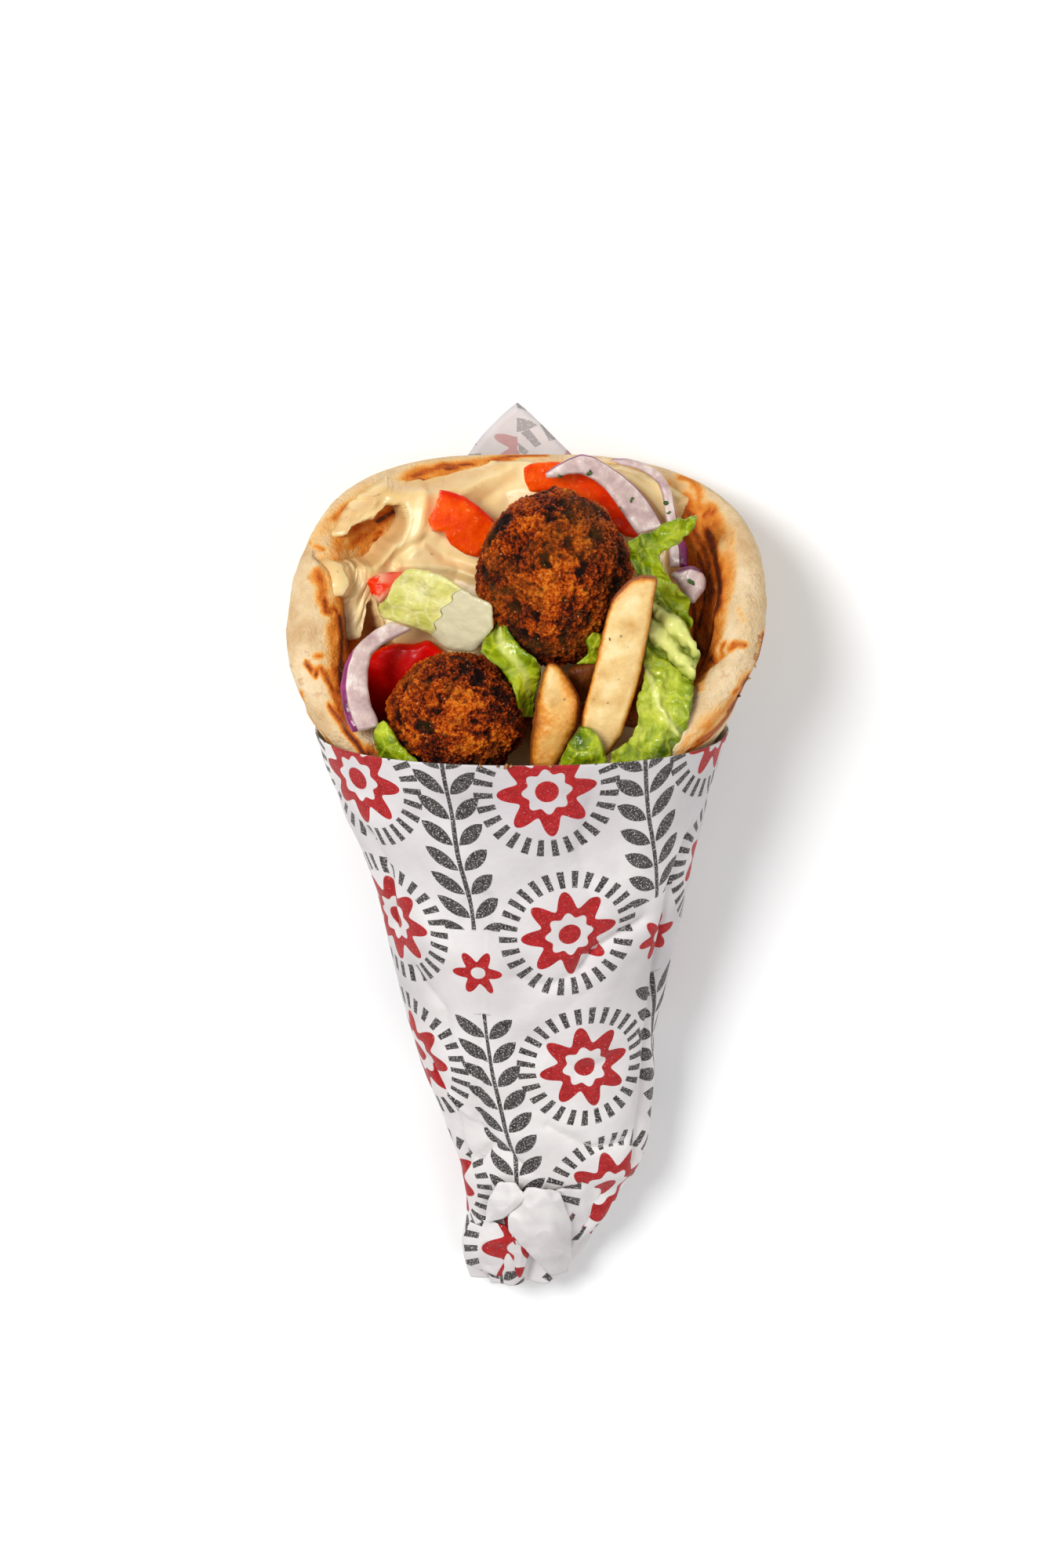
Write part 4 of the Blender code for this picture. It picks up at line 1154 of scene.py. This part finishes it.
FRY_LONG = RIGHT_VIEW(
    (610, 588), (560, 605), (520, 640), (480, 690), (455, 770), (430, 860), (405, 980), (380, 1080),
    (350, 1190), (345, 1260), (390, 1340), (450, 1380), (475, 1350), (520, 1285), (555, 1180), (590, 1070),
    (615, 950), (640, 820), (660, 700), (677, 610), (668, 592),
)
FRY_SHORT = RIGHT_VIEW(
    (228, 968), (255, 985), (300, 1050), (335, 1110), (345, 1150), (330, 1250), (290, 1330), (250, 1405),
    (235, 1440), (125, 1440), (120, 1400), (125, 1300), (140, 1180), (160, 1080), (185, 1000), (203, 970),
)
FRY_BEHIND = RIGHT_VIEW(
    (285, 1000), (340, 975), (420, 970), (415, 1030), (380, 1120), (345, 1160), (315, 1100), (290, 1040),
)
TOMATO_BACK = LEFT_VIEW(
    (750, 218), (800, 228), (860, 250), (920, 290), (980, 345), (1010, 390), (975, 450), (918, 515),
    (860, 500), (800, 460), (770, 410), (715, 400), (700, 350), (730, 290),
)
TOMATO_RIGHT = RIGHT_VIEW(
    (92, 122), (140, 103), (250, 98), (330, 120), (400, 160), (470, 230), (530, 300), (600, 390), (590, 425),
    (540, 425), (480, 380), (400, 330), (300, 260), (220, 230), (120, 230), (100, 180),
)
TOMATO_LEFT = LEFT_VIEW(
    (420, 615), (500, 580), (600, 572), (640, 600), (560, 660), (500, 715), (470, 700), (450, 650),
)
TOMATO_FRONT = LEFT_VIEW(
    (500, 900), (560, 885), (640, 890), (700, 868), (745, 900), (800, 950), (800, 1050), (650, 1180),
    (500, 1225), (410, 1160), (396, 1040), (405, 975),
)
ONION_BIT = RIGHT_VIEW(
    (728, 590), (770, 560), (820, 545), (862, 560), (888, 612), (882, 660), (850, 690), (835, 722),
    (800, 695), (775, 645),
)
HEART = HEART_VIEW(
    (290, 205), (450, 225), (600, 280), (715, 365), (860, 440), (942, 480), (957, 560), (950, 680),
    (900, 730), (850, 810), (815, 850), (690, 850), (600, 830), (530, 780), (470, 715), (420, 685),
    (320, 645), (200, 615), (110, 595), (68, 530), (75, 490), (140, 430), (180, 330), (250, 260),
)
LEAF_FRONT = RIGHT_VIEW(
    (340, 1238), (400, 1258), (440, 1335), (458, 1390), (445, 1425), (250, 1425), (262, 1370), (300, 1305),
)
LEAF_LEFT = LEFT_VIEW(
    (510, 1213), (545, 1260), (572, 1310), (620, 1368), (658, 1390), (662, 1430), (492, 1430), (480, 1350),
    (458, 1290), (475, 1240),
)
LEAF_MID = RIGHT_VIEW(
    (432, 838), (390, 838), (358, 870), (378, 930), (318, 978), (400, 975), (440, 960), (445, 890),
)
ARC_BACK = (
    RIGHT_VIEW(
        (190, 168), (240, 168), (290, 152), (345, 152), (400, 178), (450, 218), (490, 270), (530, 330),
        (560, 375), (590, 415),
    ),
    RIGHT_VIEW(
        (186, 150), (230, 118), (290, 85), (345, 64), (400, 76), (460, 113), (520, 153), (580, 205),
        (632, 265), (672, 330), (702, 385),
    ),
)
ARC_RIGHT = (
    RIGHT_VIEW(
        (500, 108), (580, 128), (640, 158), (680, 195), (695, 240), (705, 300), (712, 360), (722, 440),
        (732, 560),
    ),
    RIGHT_VIEW(
        (470, 88), (540, 84), (600, 98), (650, 122), (692, 153), (718, 190), (738, 240), (750, 300),
        (770, 400), (806, 470), (808, 560),
    ),
)
ARC_LEFT = (
    LEFT_VIEW(
        (632, 825), (560, 862), (500, 892), (455, 935), (440, 1000), (440, 1080), (455, 1160), (480, 1210),
        (488, 1252),
    ),
    LEFT_VIEW(
        (545, 792), (470, 828), (410, 878), (362, 930), (333, 990), (318, 1080), (328, 1160), (348, 1230),
        (375, 1275),
    ),
)
STEM = (
    ((640, 793), (617, 815), (612, 832), (630, 846), (648, 864), (657, 884), (664, 915)),
    ((642, 793), (653, 812), (668, 828), (685, 842), (691, 858), (684, 882), (680, 915)),
)
LEAF_TOP_RIGHT = (
    LEAF_VIEW(
        (492, 78), (450, 74), (418, 116), (370, 80), (330, 110), (250, 165), (180, 187), (92, 225),
        (110, 310), (142, 402), (190, 450), (255, 560), (340, 602), (388, 622), (384, 662), (402, 732),
        (452, 782),
    ),
    LEAF_VIEW(
        (494, 86), (480, 112), (450, 187), (390, 242), (340, 267), (290, 292), (268, 312), (280, 350),
        (306, 382), (340, 440), (390, 500), (430, 550), (446, 600), (434, 640), (466, 690), (430, 722),
        (454, 784),
    ),
)
LEAF_RIGHT = (
    LEAF_VIEW(
        (238, 560), (232, 660), (205, 790), (200, 860), (182, 935), (190, 965), (158, 1100), (143, 1180),
        (160, 1260), (130, 1350), (60, 1400), (-5, 1440),
    ),
    LEAF_VIEW(
        (262, 560), (335, 620), (405, 690), (455, 770), (492, 820), (495, 900), (478, 1035), (464, 1150),
        (428, 1300), (400, 1380), (340, 1465), (180, 1500), (-5, 1510),
    ),
)


def make_fries():
    kind = "fry", fry_material()
    edge = lambda x, y, away: np.exp(-away / 0.75)
    top = RIGHT_VIEW((490, 680), (560, 605), (665, 592))
    brown = lambda x, y, away: 0.05 + 0.5 * near_line(x, y, top, 8)
    shape = FRY_LONG, 7.5, 1.5, 0.5, 2.5, 0.8
    fry = make_slab("fry_chip_long", "fry_long", kind, *shape, edge=edge, brown=brown)
    pale_end = lambda x, y, away: 0.5 - 0.45 * near_line(x, y, RIGHT_VIEW((205, 985), (215, 1120)), 10)
    shape = FRY_SHORT, 7.5, 2.2, 1.0, 3.5, 1.2
    make_slab("fry_chip_short", "fry_short", kind, *shape, edge=edge, brown=pale_end)
    shape = FRY_BEHIND, 6.5, 1.8, 0.6, 3, 1.0
    make_slab("fry_chip_behind", "fry_behind", kind, *shape, edge=edge, brown=0.95)
    return fry


def make_tomatoes():
    kind = "tomato", tomato_material()
    outside = LEFT_VIEW((750, 222), (860, 254), (940, 308), (1008, 380))
    skin = lambda x, y, away: 0.8 * near_line(x, y, outside, 8)
    rim = LEFT_VIEW((748, 218), (725, 290), (698, 350), (712, 402), (770, 412))
    smear = lambda x, y, away: 0.9 * near_line(x, y, rim, 3)
    shape = TOMATO_BACK, 6.5, 1.0, 0.8, 1.3, 0.3
    make_slab("tomato_cut_back", "tomato_back", kind, *shape, deep=skin, smear=smear)
    # The right end of this piece turns deeper red: painted shade.
    shade = lambda x, y, away: 0.75 * smooth(700, 790, x)
    shape = TOMATO_RIGHT, 5.5, 1.0, 0.6, 3, 1.0, 0.4
    make_slab("tomato_cut_right", "tomato_right", kind, *shape, deep=shade, smear=0.0)
    smear = lambda x, y, away: 0.15 + 0.7 * smooth(502, 474, x)
    shape = TOMATO_LEFT, 5, 1.2, 0.9, 3, 1.5
    make_slab("tomato_cut_left", "tomato_left", kind, *shape, deep=0.75, smear=smear)
    skin = lambda x, y, away: 1 - 0.5 * np.exp(-away / 0.35)
    shape = TOMATO_FRONT, 6, 1.6, 1.6, 4, 0.5, 0.12
    make_slab("tomato_cut_front", "tomato_front", kind, *shape, deep=skin, smear=0.0)


def make_onions():
    kind = "onion", onion_material()
    looks = dict(blisters=0.12, lines=lambda t, s, x, y: s)
    rim = lambda t, s, x, y: smooth(0.72, 1.0, s) * 0.95 + 0.4 * smooth(0.85, 1.0, -s)
    back = make_band("onion_arc_back", "onion_back", kind, ARC_BACK, 2.2, bulge=0.3, rim=rim, **looks)
    skin = lambda t, s, x, y: np.maximum(rim(t, s, x, y), smooth(0.0, 0.3, s) * smooth(0.74, 0.84, t))
    looks["blisters"] = 0.1
    right = make_band("onion_arc_right", "onion_right", kind, ARC_RIGHT, 1.8, bulge=0.3, rim=skin, **looks)
    dark = lambda t, s, x, y: smooth(0.4, 0.8, s) * smooth(0.22, 0.5, t) + 0.3 * smooth(0.85, 1.0, s)
    looks["blisters"] = 0.12
    make_band("onion_arc_left", "onion_left", kind, ARC_LEFT, 2.0, bulge=0.4, rim=dark, **looks)
    top = RIGHT_VIEW((770, 560), (820, 545), (862, 560))
    rims = lambda x, y, away: near_line(x, y, top, 7) + 0.3 * np.exp(-away / 0.3)
    shape = ONION_BIT, 4, 1.4, 0.8, 4, 0.6
    rings = lambda x, y, away: away * 0.4
    bit = make_slab("onion_scrap", "onion_bit", kind, *shape, rim=rims, lines=rings)
    return back, right, bit


def make_lettuce():
    green = lettuce_material("lettuce", (66, 92, 0), (142, 162, 2), (204, 210, 46), (216, 218, 124))
    yellows = (186, 184, 78), (214, 206, 118), (232, 226, 166)
    pale = lettuce_material("lettuce heart", *yellows, (208, 198, 162))
    kind = "lettuce", green
    # The heart: a crinkled yellow end and, right of the break, the smooth watery rib.
    break_x, break_y = (587, 563, 549), (750, 780, 812)
    rib = lambda x, y, away: smooth(-3, 3, x - np.interp(y, break_y, break_x) + 3 * np.sin(y * 0.35))
    rims = lambda x, y, away: np.exp(-away / 0.4) * 0.4
    shape = HEART, 2.6, 1.1, 0.8, 4, 1.6, 0.5
    make_slab("lettuce_heart_leaf", "lettuce_heart", ("lettuce_heart", pale), *shape, rib=rib, edge=rims)
    edges = lambda t, s, x, y: smooth(0.82, 1.0, np.abs(s))
    wave = lambda t, s, x, y: 1.0 * s * np.abs(s) * np.sin(14 * t + s) + 0.6 * s * s
    ribs = lambda t, s, x, y: 0.75 * np.exp(-(((s - 0.1) / 0.6) ** 2)) * (1 - 0.5 * t)
    make_band("lettuce_stem_leaf", "lettuce_stem", kind, STEM, 1.1, wave, 1.5, 0.2, rib=ribs, edge=edges)

    def fold(t, s, x, y):
        return 1.6 * (1 - s) * np.exp(-(((t - 0.42) / 0.12) ** 2)) + 1.0 * s * np.sin(30 * t) + 1.2 * s * s

    deeper = lambda t, s, x, y: 0.4 + 0.6 * edges(t, s, x, y)
    shape = LEAF_TOP_RIGHT, 0.9, fold, 1.5, 0.5
    make_band("lettuce_top_right_leaf", "lettuce_top_right", kind, *shape, rib=0.0, edge=deeper)
    # Pale ribs, and between them grooves that are also painted darker as shade.
    bright = [LEAF_VIEW((240, 600), (350, 700), (490, 860)), LEAF_VIEW((215, 720), (330, 830), (480, 970))]
    dark = [LEAF_VIEW((235, 660), (350, 760), (490, 920)), LEAF_VIEW((205, 800), (330, 920), (475, 1040))]

    def right_ribs(t, s, x, y):
        lines = np.maximum(near_line(x, y, bright[0], 7), near_line(x, y, bright[1], 8))
        vein = near_line(x, y, LEAF_VIEW((200, 960), (270, 1180), (380, 1330)), 4)
        return 0.42 + 0.45 * lines + 0.3 * vein

    def right_shape(t, s, x, y):
        grooves = np.maximum(*(near_line(x, y, path, 4) for path in dark))
        pillows = sum(near_line(x, y, path, 7) for path in bright)
        return 1.3 * pillows - 1.6 * grooves + 0.9 * s * np.abs(s) * np.sin(24 * t + s) + 0.5 * s * s

    # Darker leaf margins, and painted shade in the grooves.
    groove_shade = lambda t, s, x, y: edges(t, s, x, y) * 0.6 + sum(near_line(x, y, path, 4) for path in dark)
    shape = LEAF_RIGHT, 1.0, right_shape, 1.8, 0.6
    make_band("lettuce_right_leaf", "lettuce_right", kind, *shape, rib=right_ribs, edge=groove_shade)
    for place, *shape in (
        ("front", LEAF_FRONT, 1.6, 0.7, 1.2, 3, 1.6, 0.8),
        ("left", LEAF_LEFT, 1.6, 0.7, 1.2, 3, 1.6, 0.8),
        ("mid", LEAF_MID, 1.4, 0.6, 0.6, 3, 1.6, 0.7),
    ):
        make_slab(f"lettuce_{place}_leaf", f"lettuce_{place}", kind, *shape, rib=0.0, edge=rims)


# Small things on top.

CORNERS = 9


def make_flecks(name, kind, size, thickness, seed, spots):
    """Small chopped scraps lying on surfaces, as one mesh, with their size and thickness in millimetres. A
    spot is a surface, a photo pixel and a scale."""
    rng = np.random.default_rng(seed)
    faces = []
    for i in range(CORNERS):
        j = (i + 1) % CORNERS
        below, next_below = CORNERS + i, CORNERS + j
        faces += [(i, j, 2 * CORNERS), (next_below, below, 2 * CORNERS + 1), (i, below, next_below, j)]
    half = np.array((0, 0, thickness * MM / 2))
    parts = []
    for surface, x, y, scale in spots:
        centre = surface_spot(x, y, surface) + (0, 0, 0.25 * MM)
        turn = rng.uniform(0, 2 * math.pi)
        lengths = rng.uniform(0.5, 1.0, CORNERS)
        angles = np.linspace(0, 2 * math.pi, CORNERS + 1)[:-1] + rng.uniform(-0.2, 0.2, CORNERS)
        flat = np.stack((np.cos(angles) * lengths, 0.55 * np.sin(angles) * lengths), -1)
        c, s = math.cos(turn), math.sin(turn)
        bend = rng.uniform(-0.25, 0.25, CORNERS)
        sheet = np.column_stack((flat @ np.array(((c, -s), (s, c))), bend)) * size * scale * MM + centre
        tips = [centre + 2 * half, centre - 2 * half]
        parts.append((np.concatenate((sheet + half, sheet - half, tips)), faces, {}))
    points, faces, _ = join(parts)
    add_piece(name, points, faces, kind)


def make_scraps(paper, bread, fry, back, right, bit):
    """Parsley on the onion and the fry, crumbs on the paper's edge and on the bread's rim."""
    parsley = [
        (back, 807, 637, 0.9), (back, 754, 606, 1.2), (back, 715, 611, 0.8), (back, 786, 655, 0.5),
        (right, 846, 642, 1.0), (right, 850, 652, 0.7), (bit, 877, 743, 1.3), (fry, 779, 818, 0.5),
    ]
    make_flecks("parsley_flecks", ("lettuce", parsley_material()), 1.0, 0.2, 5, parsley)
    crumbs = [
        (paper, 643, 978, 0.9), (paper, 650, 979, 0.6), (paper, 634, 979, 0.5), (paper, 612, 978, 0.5),
        (paper, 703, 980, 0.6), (bread, 971, 812, 1.1), (bread, 970, 824, 0.9), (bread, 967, 838, 1.2),
        (bread, 962, 852, 0.7), (bread, 956, 868, 0.9), (bread, 946, 888, 0.7), (bread, 932, 908, 0.8),
    ]
    make_flecks("crumbs", ("bread", crumb_material()), 0.9, 0.8, 9, crumbs)


# Light, floor and camera.


def make_light(name, place, size, watts):
    light = bpy.data.lights.new(name, "AREA")
    light.shape = "DISK"
    light.size = size
    light.energy = watts
    obj = add_object(name, light)
    obj.location = place
    obj.rotation_euler = (Vector((0, 0, 0.03)) - Vector(place)).to_track_quat("-Z", "Y").to_euler()


def make_studio():
    world = bpy.data.worlds.new("studio")
    bpy.context.scene.world = world
    world.use_nodes = True
    background = world.node_tree.nodes["Background"]
    background.inputs["Color"].default_value = (1, 1, 1, 1)
    background.inputs["Strength"].default_value = 0.42
    make_light("key", (0.45, -0.42, 0.9), 0.4, 8.4)
    make_light("fill", (-0.6, 0.3, 0.85), 0.9, 3.4)
    mesh = bpy.data.meshes.new("floor")
    steps = np.linspace(-1.6, 1.6, 9)
    points = [(x, y, -0.2 * MM) for x in steps for y in steps]
    mesh.from_pydata(points, [], grid_faces(9, 9)[:, ::-1].tolist())
    mesh.materials.append(floor_material())
    add_object("floor", mesh)
    view = bpy.context.scene.view_settings
    view.view_transform = "Standard"
    view.look = "None"


def make_camera():
    camera = bpy.data.cameras.new("camera")
    camera.sensor_width = 36
    camera.lens = 36 * FOCUS / FRAME_SIZE[1]
    camera.shift_x = (FRAME_SIZE[0] / 2 - ANCHOR[0]) / FRAME_SIZE[1]
    camera.shift_y = -(FRAME_SIZE[1] / 2 - ANCHOR[1]) / FRAME_SIZE[1]
    camera.clip_end = 10
    obj = add_object("camera", camera)
    turn = Matrix((RIGHT, UP, BACK)).transposed().to_4x4()
    obj.matrix_world = Matrix.Translation(EYE) @ turn
    bpy.context.scene.camera = obj


def main():
    paper = make_paper()
    bread = make_bread()
    make_hummus()
    make_falafels()
    fry = make_fries()
    make_tomatoes()
    back, right, bit = make_onions()
    make_lettuce()
    make_scraps(paper, bread, fry, back, right, bit)
    make_studio()
    make_camera()
    bpy.context.view_layer.update()


main()
